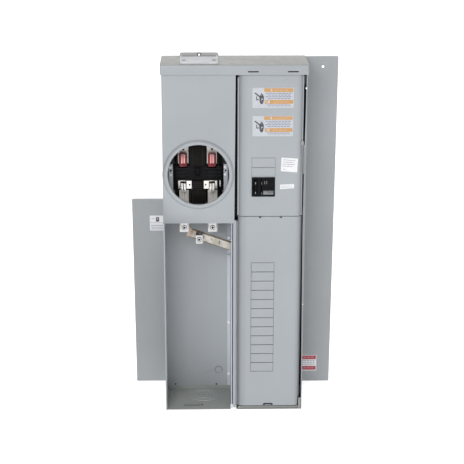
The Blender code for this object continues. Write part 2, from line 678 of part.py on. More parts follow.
def neutral_strap():
    """Flat strap from the neutral lug, slanting down through the partition to the neutral bar."""
    (x0, z0), (x1, z1) = STRAP_START, STRAP_END
    length = math.hypot(x1 - x0, z1 - z0)
    side = ((z0 - z1) / length * STRAP_HALF, (x1 - x0) / length * STRAP_HALF)
    tail = (13.5, z1)
    points = [(x0 - side[0], z0 - side[1]), (x1 - side[0], z1 - side[1]), (tail[0], tail[1] - STRAP_HALF),
              (tail[0], tail[1] + STRAP_HALF), (x1 + side[0], z1 + side[1]), (x0 + side[0], z0 + side[1])]
    strap = flat_bar("neutral_strap", points)
    strap.location.y = (BAR_THICK + GAP) * MM
    cut(strap, block("strap_slot", (-38, -35), (at(50), at(80)), (447, 457)))
    return finish(strap, (0.62, 0.53, 0.42), 0.38, 1.0)


NEUTRAL_BAR_DEPTH = BAR_DEPTH + 2 * (BAR_THICK + GAP)


def neutral_bar():
    """Terminal bar in the load-centre column, with a row of wire holes."""
    depth = (at(NEUTRAL_BAR_DEPTH), at(NEUTRAL_BAR_DEPTH + 11))
    bar = block("neutral_bar", (0.5, 13.5), depth, (206.0, 462.0))
    for i in range(14):
        z = 216.0 + i * 14.5
        cut(bar, rod("neutral_wire_%d" % i, (7.0, at(NEUTRAL_BAR_DEPTH + 6.5), z), 2.6, 20, "X", 10))
    return aluminium(bar)


def standoff(name, x, z, front):
    return black_plastic(block(name, x, (at(front + GAP), at(WALL_INSIDE - GAP)), z))


# ---- load-centre interior ----------------------------------------------------------------------
INTERIOR_Z = (96.0, 706.0)


def interior_pan():
    """Steel channel that stands the bus off the back wall."""
    back = WALL_INSIDE - GAP
    path = [(22.0, at(back)), (22.0, at(BUS_DEPTH + 8)), (126.0, at(BUS_DEPTH + 8)), (126.0, at(back))]
    return zinc(folded_sheet("interior_pan", path, INTERIOR_Z[0], INTERIOR_Z[1], "left"))


def bus_insulator():
    depth = (at(BUS_DEPTH + BAR_THICK + GAP), at(BUS_DEPTH + 8 - GAP))
    return black_plastic(block("bus_insulator", (26.0, 72.0), depth, (INTERIOR_Z[0] + 4, INTERIOR_Z[1] - 4)))


def pole_heights():
    """Heights of every breaker space, lower group first."""
    lower = [LOWER_BOTTOM + POLE_PITCH * (i + 0.5) for i in range(LOWER_SPACES)]
    upper = [MAIN_BOTTOM + POLE_PITCH * (i + 0.5) for i in range(2 + UPPER_SPACES)]
    return lower + upper


def bus_bar(name, x, first):
    """Vertical bar with a stab at every second breaker space."""
    depth = (at(BUS_DEPTH), at(BUS_DEPTH + BAR_THICK))
    bar = block(name, x, depth, (INTERIOR_Z[0] + 8, INTERIOR_Z[1] - 8))
    link_x = (x[1] - 1, PRONG_X[1]) if x[1] < PRONG_X[0] else (PRONG_X[0], x[0] + 1)
    for i, z in enumerate(pole_heights()[first::2]):
        join(bar, block("%s_link_%d" % (name, i), link_x, depth, (z - 5, z + 5)))
        join(bar, block("%s_prong_%d" % (name, i), PRONG_X, (at(50), depth[1]), (z - 5, z + 5)))
    return tin(bar)


def breaker_rail():
    """Rail that the breakers' feet hook on."""
    path = [(101.0, at(69)), (109.0, at(69)), (109.0, at(60))]
    return zinc(folded_sheet("breaker_rail", path, INTERIOR_Z[0] + 4, INTERIOR_Z[1] - 4, "right"))


MAIN_FACE = -2.0
MAIN_SHOULDER = 24.0
BARREL = 11.0


def main_breaker():
    """Two-pole main: shouldered case with a window for the handle and a slot for the stabs."""
    top = MAIN_BOTTOM + 2 * POLE_PITCH
    height = (MAIN_BOTTOM + 0.4, top - 0.4)
    case = block("main_breaker", (37.0, 112.5), (at(MAIN_SHOULDER), at(BREAKER_BACK)), height)
    join(case, block("main_face", (FACE_LEFT + 0.8, FACE_RIGHT - 0.8), (at(MAIN_FACE), at(MAIN_SHOULDER + 4)),
                     height))
    cut(case, block("pole_groove", (FACE_LEFT - 2, FACE_RIGHT + 2), (at(MAIN_FACE - 1), at(MAIN_FACE + 0.8)),
                    (MAIN_BOTTOM + POLE_PITCH - 0.4, MAIN_BOTTOM + POLE_PITCH + 0.4)))
    cut(case, block("stab_slot", (PRONG_X[0] - 1.5, PRONG_X[1] + 1.5), (at(48), at(BREAKER_BACK + 4)),
                    (MAIN_BOTTOM - 2, top + 2)))
    window = (MAIN_BOTTOM + 4.4, top - 4.4)
    cut(case, rod("handle_pocket", (HANDLE_X, at(HANDLE_DEPTH), sum(window) / 2), BARREL + 0.4,
                  window[1] - window[0], "Z", 32))
    cut(case, block("handle_window", (HANDLE_X - 9.5, HANDLE_X + 9.5), (at(MAIN_FACE - 3), at(HANDLE_DEPTH)),
                    window))
    return black_plastic(case)


def main_breaker_handle():
    """Two levers and a tie bar on one barrel, turning about an upright line."""
    low, high = MAIN_BOTTOM + 4.8, MAIN_BOTTOM + 2 * POLE_PITCH - 4.8
    middle = (low + high) / 2
    handle = rod("main_breaker_handle", (0, 0, 0), BARREL, high - low, "Z", 32)
    span = (-POLE_PITCH / 2, POLE_PITCH / 2)
    pieces = [block("tie_bar", (-2.0, 2.0), (-BARREL - 8.2, -BARREL - 4.0), span)]
    for i, pole in enumerate(MAIN_POLES):
        z = pole - middle
        pieces.append(block("lever_%d" % i, (-2.8, 2.8), (-BARREL - 9.0, -2.0), (z - 5.5, z + 5.5)))
    for piece in pieces:
        piece.parent = handle
    join(handle, *pieces)
    handle.location = Vector((HANDLE_X, at(HANDLE_DEPTH), middle)) * MM
    handle.rotation_euler.z = math.radians(HANDLE_REST_DEG)
    return black_plastic(smooth(handle))


def ground_bar():
    depth = (at(WALL_INSIDE - GAP - 10), at(WALL_INSIDE - GAP))
    bar = block("ground_bar", (150.0, 162.0), depth, (120.0, 330.0))
    for i in range(14):
        z = 131.0 + i * 14.4
        cut(bar, rod("ground_wire_%d" % i, (156.0, at(WALL_INSIDE - 5.5), z), 2.4, 20, "X", 10))
    return aluminium(bar)


# ---- deadfronts --------------------------------------------------------------------------------
DEADFRONT_FACE = 0.6


def deadfront_strap(name, low):
    """Formed strap across the column that the deadfronts rest on."""
    wall = RIGHT - SHEET - GAP
    near_wall = PARTITION_RIGHT + GAP
    step = DEADFRONT_BACK + 1.0
    path = [(near_wall, at(62)), (near_wall, at(46)), (8.0, at(46)), (16.0, at(step)), (164.0, at(step)),
            (170.0, at(46)), (wall, at(46)), (wall, at(62))]
    return zinc(folded_sheet(name, path, low, low + 22.0, "left"))


def shoulder(edge, inward):
    """Arc from a deadfront's side edge in to its flat face, as (x, y) points."""
    steps = 6
    points = []
    for step in range(steps + 1):
        angle = math.radians(SHOULDER_DEG * (1 - step / steps))
        reach = SHOULDER_RADIUS * (math.sin(math.radians(SHOULDER_DEG)) - math.sin(angle))
        points.append((edge + inward * reach, at(DEADFRONT_FACE + SHOULDER_RADIUS * (1 - math.cos(angle)))))
    return points


def deadfront_tray(name, right, z):
    """Drawn tray: soft shoulders down both sides, straight returns, and two end walls."""
    left = DEADFRONT_LEFT
    path = [(left, at(DEADFRONT_BACK)), *shoulder(left, 1), *reversed(shoulder(right, -1)),
            (right, at(DEADFRONT_BACK))]
    tray = folded_sheet(name, path, z[0], z[1], "left")
    shallow = at(DEADFRONT_FACE + SHOULDER_RADIUS * (1 - math.cos(math.radians(SHOULDER_DEG))) + 0.4)
    for level, low in (("low", z[0]), ("high", z[1] - SHEET)):
        end = block("%s_end_%s" % (name, level), (left + 0.5, right - 0.5), (shallow, at(DEADFRONT_BACK)),
                    (low, low + SHEET))
        crown = block("%s_crown_%s" % (name, level), (left + 17, right - 17),
                      (at(DEADFRONT_FACE + 1), shallow + 1), (low, low + SHEET))
        join(tray, end, crown)
    return tray


TWISTOUT_GROOVE = 1.0


def add_twistout(tray, name, bottom):
    """Half-sheared blank: a shallow groove round a panel."""
    x = (FACE_LEFT, FACE_RIGHT)
    z = (bottom + 0.4, bottom + POLE_PITCH - 0.4)
    face = DEADFRONT_FACE
    cut(tray, block(name + "_groove", x, (at(face - 1), at(face + 0.7)), z))
    panel_x = (x[0] + TWISTOUT_GROOVE, x[1] - TWISTOUT_GROOVE)
    panel_z = (z[0] + TWISTOUT_GROOVE, z[1] - TWISTOUT_GROOVE)
    join(tray, block(name + "_panel", panel_x, (at(face + 0.1), at(face + 1.2)), panel_z))


def upper_deadfront():
    """Cover round the main breaker, with two twist-outs above it."""
    tray = deadfront_tray("upper_deadfront", UPPER_DEADFRONT_RIGHT, (DEADFRONT_SEAM + SEAM_HALF, COVER_TOP))
    top = MAIN_BOTTOM + 2 * POLE_PITCH
    cut(tray, block("main_window", (FACE_LEFT, FACE_RIGHT), (at(-4), at(8)), (MAIN_BOTTOM - 0.3, top + 0.3)))
    for i in range(UPPER_SPACES):
        add_twistout(tray, "upper_twistout_%d" % i, top + POLE_PITCH * i)
    snip = 5.0
    corner = (DEADFRONT_LEFT, COVER_TOP)
    cut(tray, outline("corner_snip", [(corner[0] - 1, corner[1] + 1), (corner[0] - 1, corner[1] - snip),
                                      (corner[0] + snip, corner[1] + 1)], (at(-3), at(DEADFRONT_BACK + 3))))
    return painted(tray)


def lower_deadfront():
    """Cover over the branch spaces, with twelve twist-outs and a padlock slot."""
    top = DEADFRONT_SEAM - SEAM_HALF
    tray = deadfront_tray("lower_deadfront", LOWER_DEADFRONT_RIGHT, (DEADFRONT_BOTTOM, top))
    for i in range(LOWER_SPACES):
        add_twistout(tray, "lower_twistout_%d" % i, LOWER_BOTTOM + POLE_PITCH * i)
    for i, x in enumerate((66.6, 119.9)):
        cut(tray, block("seam_notch_%d" % i, (x - 2.5, x + 2.5), (at(-4), at(6)), (top - 3.5, top + 2)))
    cut(tray, block("latch_slot", (77.8, 104.4), (at(-4), at(6)), (14.2, 16.9)))
    cut(tray, block("corner_relief", (171.0, 176.0), (at(-4), at(DEADFRONT_BACK + 3)),
                    (DEADFRONT_BOTTOM - 2, 34)))
    return painted(tray)


def deadfront_catch():
    """Small bright clip on the right shoulder of the upper deadfront."""
    tip = 175.4
    corners = rounded_rectangle((168.0, tip), (727.0, 736.5), 1.2)
    clip = outline("deadfront_catch", corners, (at(0.8), at(2.0)))
    foot = block("deadfront_catch_foot", (UPPER_DEADFRONT_RIGHT + GAP, tip), (at(1.4), at(14)),
                 (728.2, 735.3))
    return zinc(join(clip, foot))


# ---- the two covers set down behind the box ----------------------------------------------------
def leaning_cover(cover):
    """A cover standing on the floor with its top edge against the back wall."""
    width = cover["x"][1] - cover["x"][0]
    tray = open_box(cover["name"], (0.0, width), (0.0, COVER_RETURN), (0.0, cover["height"]), ("back",),
                    (("front", "left"), ("front", "right")), 2.0, 2)
    clearance = 1.0
    lean = math.asin((cover["foot"] - clearance) / cover["height"])
    tray.location = Vector((cover["x"][0], BACK + cover["foot"], 0.0)) * MM
    tray.rotation_euler.x = lean
    return painted(tray)


def load_cover():
    tray = leaning_cover(LOAD_COVER)
    hole_x, hole_z = 232.6, 901.0
    return cut(tray, rod("load_cover_hole", (hole_x, BACK + 6.0, hole_z), 3.4, 20, "Y", 20))


# ---- assembly ----------------------------------------------------------------------------------
def build_enclosure():
    back_box()
    bottom_pan()
    top_cap()
    top_header()
    partition()
    front_post()
    hub_plate()
    for number, x in enumerate(HUB_SCREW_X, start=1):
        hub_plate_screw(number, x)
    hanger_bracket()
    for number, z in enumerate(PARTITION_SCREWS, start=1):
        front_screw("partition_screw_%d" % number, PARTITION_SCREW_X, z, WALL_INSIDE - GAP - SHEET)


def build_meter_section():
    meter_cover()
    socket_base()
    for side, inward, centre in (("left", 1, LEFT_JAW_X), ("right", -1, RIGHT_JAW_X)):
        socket_bracket(side)
        for number, z in enumerate(BRACKET_SCREW_Z, start=1):
            front_screw("bracket_screw_%s_%d" % (side, number), BRACKET_SCREW_X[side], z, BRACKET_FACE)
        upper_jaw(side, centre)
        jaw_guide(side, centre)
        lower_jaw(side, centre, inward)
        line_bar(side, (centre - 11.0, centre + 13.5))
        load_bar(side)
        lug("line_lug_" + side, LINE_LUG_X[side], LINE_LUG_Z)
        lug_screw("line_lug_screw_" + side, LINE_LUG_X[side], LINE_LUG_Z)
    feed_bar_standoff()
    neutral_strap()
    lug("neutral_lug", NEUTRAL_LUG_X, NEUTRAL_LUG_Z)
    lug_screw("neutral_lug_screw", NEUTRAL_LUG_X, NEUTRAL_LUG_Z)


def build_load_centre():
    interior_pan()
    bus_insulator()
    bus_bar("bus_bar_a", (30.0, 40.0), 0)
    bus_bar("bus_bar_b", (56.0, 66.0), 1)
    breaker_rail()
    main_breaker()
    main_breaker_handle()
    neutral_bar()
    for level, low in (("lower", 220.0), ("upper", 400.0)):
        standoff("neutral_standoff_" + level, (1.5, 12.5), (low, low + 24.0), NEUTRAL_BAR_DEPTH + 11)
    ground_bar()
    for level, low in (("lower", 24.0), ("middle", 529.0), ("upper", 872.0)):
        deadfront_strap("deadfront_strap_" + level, low)
    upper_deadfront()
    lower_deadfront()
    deadfront_catch()


build_enclosure()
build_meter_section()
build_load_centre()
leaning_cover(PULL_COVER)
load_cover()
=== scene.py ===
"""Looks for the meter-main load centre: materials, moulded parts, labels, light and camera."""
import math

import bmesh
import bpy
from mathutils import Matrix, Vector


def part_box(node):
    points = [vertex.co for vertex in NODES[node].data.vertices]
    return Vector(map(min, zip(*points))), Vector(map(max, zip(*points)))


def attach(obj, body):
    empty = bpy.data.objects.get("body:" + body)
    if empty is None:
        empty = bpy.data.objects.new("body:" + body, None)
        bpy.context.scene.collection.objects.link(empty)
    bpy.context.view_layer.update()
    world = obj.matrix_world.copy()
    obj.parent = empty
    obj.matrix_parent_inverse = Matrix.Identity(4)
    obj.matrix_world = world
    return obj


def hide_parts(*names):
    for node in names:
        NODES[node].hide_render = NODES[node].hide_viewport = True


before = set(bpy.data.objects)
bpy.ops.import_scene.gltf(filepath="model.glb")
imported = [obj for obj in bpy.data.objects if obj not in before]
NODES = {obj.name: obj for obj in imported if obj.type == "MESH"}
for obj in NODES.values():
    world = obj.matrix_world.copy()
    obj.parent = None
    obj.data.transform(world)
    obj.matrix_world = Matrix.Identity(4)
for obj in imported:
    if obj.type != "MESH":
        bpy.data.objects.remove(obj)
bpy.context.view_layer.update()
MM = 0.001


# ---- where things are ----
def span(node):
    """The node's box in millimetres as three (low, high) pairs."""
    low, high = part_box(node)
    return [(low[i] / MM, high[i] / MM) for i in range(3)]


FRONT = span("back_box")[1][0]


# ---- node helpers ----
class Nodes:
    """Short calls for building one material's node tree."""

    def __init__(self, name):
        self.material = bpy.data.materials.new(name)
        self.material.use_nodes = True
        self.tree = self.material.node_tree
        self.shader = self.tree.nodes["Principled BSDF"]
        self.place = self.tree.nodes.new("ShaderNodeTexCoord").outputs["Object"]

    def add(self, kind, **settings):
        made = self.tree.nodes.new(kind)
        for key, value in settings.items():
            setattr(made, key, value)
        return made

    def link(self, source, target):
        self.tree.links.new(source, target)

    def put(self, value, socket):
        """Set a socket to a number or a colour, or wire another node's output to it."""
        if isinstance(value, tuple):
            socket.default_value = (*value, 1.0)
        elif isinstance(value, (float, int)):
            socket.default_value = value
        else:
            self.link(value, socket)

    def fill(self, node, **values):
        """Fill a node's inputs, named as in Blender but in lower case with underscores."""
        for key, value in values.items():
            self.put(value, node.inputs[key.replace("_", " ").title().replace("Ior", "IOR")])

    def stretched(self, scale):
        mapping = self.add("ShaderNodeMapping")
        mapping.inputs["Scale"].default_value = scale
        self.link(self.place, mapping.inputs["Vector"])
        return mapping.outputs["Vector"]

    def noise(self, scale, detail=3.0, rough=0.5, vector=None):
        texture = self.add("ShaderNodeTexNoise")
        self.fill(texture, scale=scale, detail=detail, roughness=rough, vector=vector or self.place)
        return texture.outputs["Fac"]

    def part(self, axis, vector=None):
        """One coordinate of a vector, or of the point being shaded."""
        split = self.add("ShaderNodeSeparateXYZ")
        self.link(vector or self.place, split.inputs["Vector"])
        return split.outputs[axis]

    def facing(self, axis):
        """How far the surface faces along an axis, from -1 to 1."""
        return self.part(axis, self.add("ShaderNodeNewGeometry").outputs["Normal"])

    def spread(self, source, low, high, to_low=0.0, to_high=1.0):
        change = self.add("ShaderNodeMapRange")
        self.fill(change, from_min=low, from_max=high, to_min=to_low, to_max=to_high, value=source)
        return change.outputs["Result"]

    def blend(self, factor, first, second):
        mix = self.add("ShaderNodeMix", data_type="RGBA")
        self.fill(mix, factor=factor, a=first, b=second)
        return mix.outputs["Result"]

    def maths(self, operation, *values):
        made = self.add("ShaderNodeMath", operation=operation)
        for value, socket in zip(values, made.inputs):
            self.put(value, socket)
        return made.outputs["Value"]

    def bump(self, height, strength, distance):
        made = self.add("ShaderNodeBump")
        self.fill(made, strength=strength, distance=distance, height=height)
        self.fill(self.shader, normal=made.outputs["Normal"])

    def set(self, **values):
        self.fill(self.shader, **values)


def shade(colour, factor):
    return tuple(min(1.0, channel * factor) for channel in colour)


# ---- materials ----
def powder_coat(name, colour, dust, turned_away_shade=0.0, top=None, lit_side=0.0, edges=(), lip=None):
    """Baked powder coat: fine orange peel, slow colour drift and a little handling dust.

    turned_away_shade darkens the coat on faces turned away from the front, as painted shade; top is
    the colour laid on faces that look up, dust and painted shade together; lit_side is how much paler
    the coat gets beside the partition, as painted light; edges are (x, width) pairs in millimetres
    where the coat is darkened from an upright edge inwards, as painted shade; lip is the (left, right)
    reach, in millimetres, of the right lip, darker below the catch as painted shade, while faces that
    look right are made paler as painted light.
    """
    n = Nodes(name)
    drift = n.spread(n.noise(3.5, 2.0), 0.35, 0.65)
    base = n.blend(drift, shade(colour, 0.965), shade(colour, 1.035))
    smear = n.spread(n.noise(1.0, 5.0, 0.6, n.stretched((26.0, 26.0, 6.0))), 0.52, 0.75, 0.0, dust)
    base = n.blend(smear, base, shade(colour, 1.25))
    specks = n.spread(n.noise(420.0, 1.0), 0.70, 0.76, 0.0, 0.22)
    base = n.blend(specks, base, shade(colour, 0.62))
    # paler beside the partition: painted light
    if lit_side:
        beside_partition_light = n.spread(n.part("X"), -0.105, -0.012)
        base = n.blend(beside_partition_light, base, shade(colour, 1.0 + lit_side))
    # darker inwards from each upright edge: painted shade
    for x, width in edges:
        painted_shade = n.spread(n.part("X"), x * MM, (x + width) * MM, 0.62, 0.0)
        base = n.blend(painted_shade, base, shade(colour, 0.62))
    # right lip darker below the catch: painted shade
    if lip:
        within = n.maths("COMPARE", n.part("X"), (lip[0] + lip[1]) / 2 * MM, (lip[1] - lip[0]) / 2 * MM)
        above_catch = n.spread(n.part("Z"), 0.715, 0.745)
        painted_shade = n.blend(above_catch, shade(colour, 0.70), shade(colour, 0.94))
        base = n.blend(within, base, painted_shade)
        # faces that look right made paler: painted light
        base = n.blend(n.spread(n.facing("X"), 0.9, 0.99), base, shade(colour, 1.46))
    # faces turned away from the front made darker: painted shade
    if turned_away_shade:
        turned = n.spread(n.facing("Y"), -1.0, -0.72, 0.0, turned_away_shade)
        base = n.blend(turned, base, shade(colour, 0.42))
    # faces that look up made darker and warmer: dust and painted shade
    if top:
        base = n.blend(n.spread(n.facing("Z"), 0.5, 0.95, 0.0, 0.9), base, top)
    n.set(base_color=base, roughness=n.spread(n.noise(60.0, 4.0), 0.3, 0.7, 0.36, 0.50))
    n.bump(n.noise(1100.0, 2.0), 0.22, 0.00025)
    return n.material


def zinc_plate(name, colour=(0.80, 0.81, 0.84), rough=0.24, metal=0.75):
    """Bright zinc: soft spangle and fine drawn scratches."""
    n = Nodes(name)
    cells = n.add("ShaderNodeTexVoronoi")
    n.fill(cells, scale=120.0, vector=n.place)
    spangle = n.spread(cells.outputs["Distance"], 0.0, 0.8)
    streak = n.noise(1.0, 4.0, 0.6, n.stretched((40.0, 900.0, 900.0)))
    n.set(base_color=n.blend(spangle, shade(colour, 1.06), shade(colour, 0.86)), metallic=metal,
          roughness=n.spread(streak, 0.3, 0.7, rough - 0.06, rough + 0.14))
    n.bump(streak, 0.10, 0.0002)
    return n.material


def tin_plate(name, colour, rough, metal=0.70):
    """Dull tin over copper or aluminium: rolled grain along the bar and faint staining."""
    n = Nodes(name)
    grain = n.noise(1.0, 5.0, 0.65, n.stretched((700.0, 700.0, 22.0)))
    stain = n.spread(n.noise(38.0, 4.0), 0.45, 0.75, 0.0, 0.55)
    base = n.blend(stain, colour, (colour[0] * 0.86, colour[1] * 0.78, colour[2] * 0.70))
    n.set(base_color=base, metallic=metal, roughness=n.spread(grain, 0.3, 0.7, rough - 0.07, rough + 0.12))
    n.bump(grain, 0.16, 0.0002)
    return n.material


def machined(name, colour):
    """Sawn and tumbled aluminium."""
    n = Nodes(name)
    saw = n.noise(1.0, 3.0, 0.6, n.stretched((90.0, 90.0, 1500.0)))
    n.set(base_color=n.blend(n.noise(90.0), shade(colour, 0.93), shade(colour, 1.05)), metallic=1.0,
          roughness=n.spread(saw, 0.3, 0.7, 0.22, 0.39))
    n.bump(saw, 0.18, 0.0002)
    return n.material


def strap_metal(name):
    """Neutral strap: tin plate that thins to copper towards its left end."""
    n = Nodes(name)
    left, right = span("neutral_strap")[0]
    along = n.spread(n.part("X"), (left - 4) * MM, (left + 0.42 * (right - left)) * MM, 1.0, 0.0)
    patch = n.spread(n.noise(70.0, 3.0), 0.35, 0.65, 0.25, 1.0)
    grain = n.noise(1.0, 4.0, 0.6, n.stretched((60.0, 500.0, 500.0)))
    tin = n.blend(n.spread(n.noise(45.0), 0.35, 0.7), (0.35, 0.325, 0.275), (0.49, 0.475, 0.445))
    n.set(base_color=n.blend(n.maths("MULTIPLY", along, patch), tin, (0.28, 0.18, 0.13)), metallic=0.75,
          roughness=n.spread(grain, 0.3, 0.7, 0.28, 0.48))
    n.bump(grain, 0.14, 0.0002)
    return n.material


def moulded(name, colour, rough, sheen=1.35, gloss=0.25):
    """Moulded thermoset: tool texture, dusty flats and faint flow marks."""
    n = Nodes(name)
    flow = n.spread(n.noise(1.0, 4.0, 0.6, n.stretched((60.0, 60.0, 18.0))), 0.35, 0.7)
    n.set(base_color=n.blend(flow, colour, shade(colour, sheen)), specular_ior_level=gloss,
          roughness=n.spread(n.noise(240.0, 3.0), 0.3, 0.7, rough - 0.08, rough + 0.1))
    n.bump(n.noise(1500.0, 2.0), 0.25, 0.00015)
    return n.material


def printed(name, colour, rough=0.35):
    """Ink or film on a label: slight mottle so that it isn't one flat tone."""
    n = Nodes(name)
    mottle = n.spread(n.noise(160.0, 4.0), 0.35, 0.65)
    n.set(base_color=n.blend(mottle, shade(colour, 0.94), shade(colour, 1.03)),
          roughness=n.spread(n.noise(35.0), 0.3, 0.7, rough - 0.06, rough + 0.08))
    n.bump(n.noise(900.0), 0.08, 0.0001)
    return n.material


def backdrop(name, colour, glow):
    """Pale matt sweep, lit a little from within so that it photographs white."""
    n = Nodes(name)
    cloud = n.spread(n.noise(1.2, 3.0), 0.35, 0.65)
    n.set(base_color=n.blend(cloud, shade(colour, 0.985), shade(colour, 1.01)), roughness=0.85,
          emission_color=(1.0, 1.0, 1.0), emission_strength=glow)
    return n.material


PAINT = (0.288, 0.308, 0.326)
BOX_RIGHT = span("back_box")[0][1]
MATERIALS = {
    # darker on faces turned away from the front: painted shade
    "paint": powder_coat("paint_light_grey", PAINT, 0.10, 0.20),
    # darker at both shoulders and on faces turned away from the front: painted shade
    "paint_deadfront": powder_coat("paint_deadfront_grey", PAINT, 0.10, 0.12,
                                   edges=((10.0, 25.0), (175.0, -19.0))),
    # darker on faces turned away from the front: painted shade; faces that look up darker and warmer: dust
    # and painted shade
    "paint_cap": powder_coat("paint_cap_grey", shade(PAINT, 0.98), 0.12, 0.35, (0.228, 0.232, 0.214)),
    "paint_tab": powder_coat("paint_tab_grey", (0.400, 0.405, 0.400), 0.10),
    "paint_post": powder_coat("paint_post_grey", (0.292, 0.311, 0.340), 0.08),
    # much paler than the box paint: painted light on the lit partition flange
    "paint_flange_lit": powder_coat("paint_flange_grey", (0.515, 0.546, 0.600), 0.12),
    # paler beside the partition and on faces that look right: painted light; right lip darker below the
    # catch: painted shade
    "paint_inside": powder_coat("paint_inside_grey", (0.285, 0.303, 0.318), 0.06, lit_side=0.30,
                                lip=(BOX_RIGHT - 8.0, BOX_RIGHT - 0.3)),
    # darker from x = 20 mm leftwards: painted shade
    "paint_pan": powder_coat("paint_pan_grey", (0.288, 0.301, 0.286), 0.14, edges=((20.0, -12.0),)),
    "paint_cover": powder_coat("paint_cover_grey", (0.272, 0.288, 0.301), 0.08),
    # paler than the box paint: painted highlight on the knockout rims
    "paint_rim_highlight": powder_coat("paint_rim_grey", (0.385, 0.405, 0.400), 0.0),
    "recess": moulded("recess_shadow", (0.030, 0.032, 0.032), 0.6),
    # dark grey: painted shadow in the twist-out cuts and the pull-section floor slots; also the pull-section
    # plugs
    "paint_line": powder_coat("paint_cut_line", (0.080, 0.086, 0.090), 0.0),
    # painted shadow in the upper twist-out cuts
    "paint_faint_line_shadow": powder_coat("paint_faint_line_shadow", (0.150, 0.160, 0.168), 0.0),
    # three darkening steps of the paint: painted shade at the meter ring's foot, in the back knockout's outer
    # ring and on the latch tongue
    "paint_crease_shade": powder_coat("paint_crease_grey", shade(PAINT, 0.90), 0.0),
    "paint_fold_shade": powder_coat("paint_fold_grey", shade(PAINT, 0.80), 0.0),
    "paint_groove_shade": powder_coat("paint_groove_grey", shade(PAINT, 0.68), 0.0),
    "zinc": zinc_plate("zinc_bright"),
    "zinc_light": zinc_plate("zinc_frosted", (0.90, 0.90, 0.95), 0.40, 0.25),
    "zinc_hub": zinc_plate("zinc_hub_plate", (0.415, 0.422, 0.450), 0.38, 0.15),
    "zinc_soft": zinc_plate("zinc_soft", (0.270, 0.268, 0.262), 0.42, 0.10),
    # paler zinc: painted highlight on the hub plate's rims
    "zinc_rim_highlight": zinc_plate("zinc_rim_painted_highlight", (0.56, 0.56, 0.57), 0.30, 0.15),
    "zinc_dull": zinc_plate("zinc_dull", (0.62, 0.63, 0.65), 0.36),
    "aluminium": machined("aluminium_machined", (0.47, 0.475, 0.47)),
    "strap": strap_metal("strap_tin_over_copper"),
    # dark metal: painted shade of the strap's bent edges
    "strap_edge": tin_plate("strap_edge_shade_metal", (0.13, 0.11, 0.08), 0.45),
    "black": moulded("moulded_black", (0.0035, 0.0036, 0.0044), 0.45, 1.35, 0.10),
    # paler black: painted highlight on the moulding's ridges and grooves
    "black_edge_highlight": moulded("moulded_black_edge", (0.020, 0.020, 0.022), 0.4, 1.35, 0.3),
    "brown_black": moulded("moulded_brown_black", (0.0050, 0.0046, 0.0038), 0.5, 1.5, 0.09),
    "red": moulded("moulded_red", (0.115, 0.0035, 0.0085), 0.26, 1.9, 0.4),
    # pink tint: painted reflection of the red collars on the upper jaws
    "tin_red_reflection": tin_plate("tin_plate_red_reflection", (0.72, 0.34, 0.34), 0.30, 0.35),
    "paint_bracket": powder_coat("paint_bracket_grey", (0.40, 0.42, 0.45), 0.12),
    "tin_bright": tin_plate("tin_plate_bright", (0.86, 0.84, 0.81), 0.28),
    "tin_dark": tin_plate("tin_plate_shaded", (0.26, 0.22, 0.21), 0.36, 0.5),
    "tin_bar": tin_plate("tin_plate_bar", (0.66, 0.635, 0.60), 0.36, 0.35),
    "socket_dark": moulded("socket_shadow_steel", (0.06, 0.06, 0.065), 0.5),
    "plate_grey": printed("rating_plate_grey", (0.16, 0.165, 0.17), 0.4),
    "paper_white": printed("paper_white", (0.640, 0.645, 0.655), 0.6),
    "label_cream": printed("label_cream", (0.430, 0.330, 0.240)),
    "label_pink": printed("label_pink", (0.400, 0.180, 0.200)),
    "label_white": printed("label_white", (0.420, 0.440, 0.478)),
    "label_orange": printed("label_orange", (0.455, 0.245, 0.085)),
    "label_grey": printed("label_grey", (0.185, 0.195, 0.270)),
    "label_dark": printed("label_dark", (0.05, 0.05, 0.06)),
    "label_red": printed("label_red", (0.330, 0.030, 0.050)),
    "mark_white": printed("mark_grey", (0.22, 0.22, 0.22), 0.5),
}


# ---- mesh helpers ----
def at(depth):
    """Y of a point this far behind the enclosure's front plane."""
    return FRONT + depth


def depths(near, far):
    """The Y pair of two depths."""
    return (at(near), at(far))


def around(middle, half):
    """The pair that reaches half to either side of middle."""
    return (middle - half, middle + half)


def new_piece(name, bm, materials, body, replaces=()):
    """An object in metres from a bmesh in millimetres, riding on a body."""
    bmesh.ops.scale(bm, vec=(MM, MM, MM), verts=bm.verts)
    bmesh.ops.recalc_face_normals(bm, faces=bm.faces)
    mesh = bpy.data.meshes.new(name)
    bm.to_mesh(mesh)
    bm.free()
    mesh.shade_smooth()
    mesh.set_sharp_from_angle(angle=math.radians(24))
    for key in materials:
        mesh.materials.append(MATERIALS[key])
    obj = bpy.data.objects.new(name, mesh)
    bpy.context.scene.collection.objects.link(obj)
    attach(obj, body)
    if replaces:
        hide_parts(*replaces)


def add_box(bm, x, y, z, radius=0.4, segments=2, material=0):
    """A box with rounded edges, between pairs in millimetres."""
    made = bmesh.ops.create_cube(bm, size=1.0)["verts"]
    size = (x[1] - x[0], y[1] - y[0], z[1] - z[0])
    middle = ((x[0] + x[1]) / 2, (y[0] + y[1]) / 2, (z[0] + z[1]) / 2)
    bmesh.ops.scale(bm, vec=size, verts=made)
    bmesh.ops.translate(bm, vec=middle, verts=made)
    faces = list({face for vert in made for face in vert.link_faces})
    if radius:
        edges = list({edge for vert in made for edge in vert.link_edges})
        rounded = bmesh.ops.bevel(bm, geom=edges, offset=min(radius, min(size) * 0.45), segments=segments,
                                  profile=0.5, affect="EDGES", clamp_overlap=True)
        faces = list({face for vert in rounded["verts"] for face in vert.link_faces})
    for face in faces:
        face.material_index = material


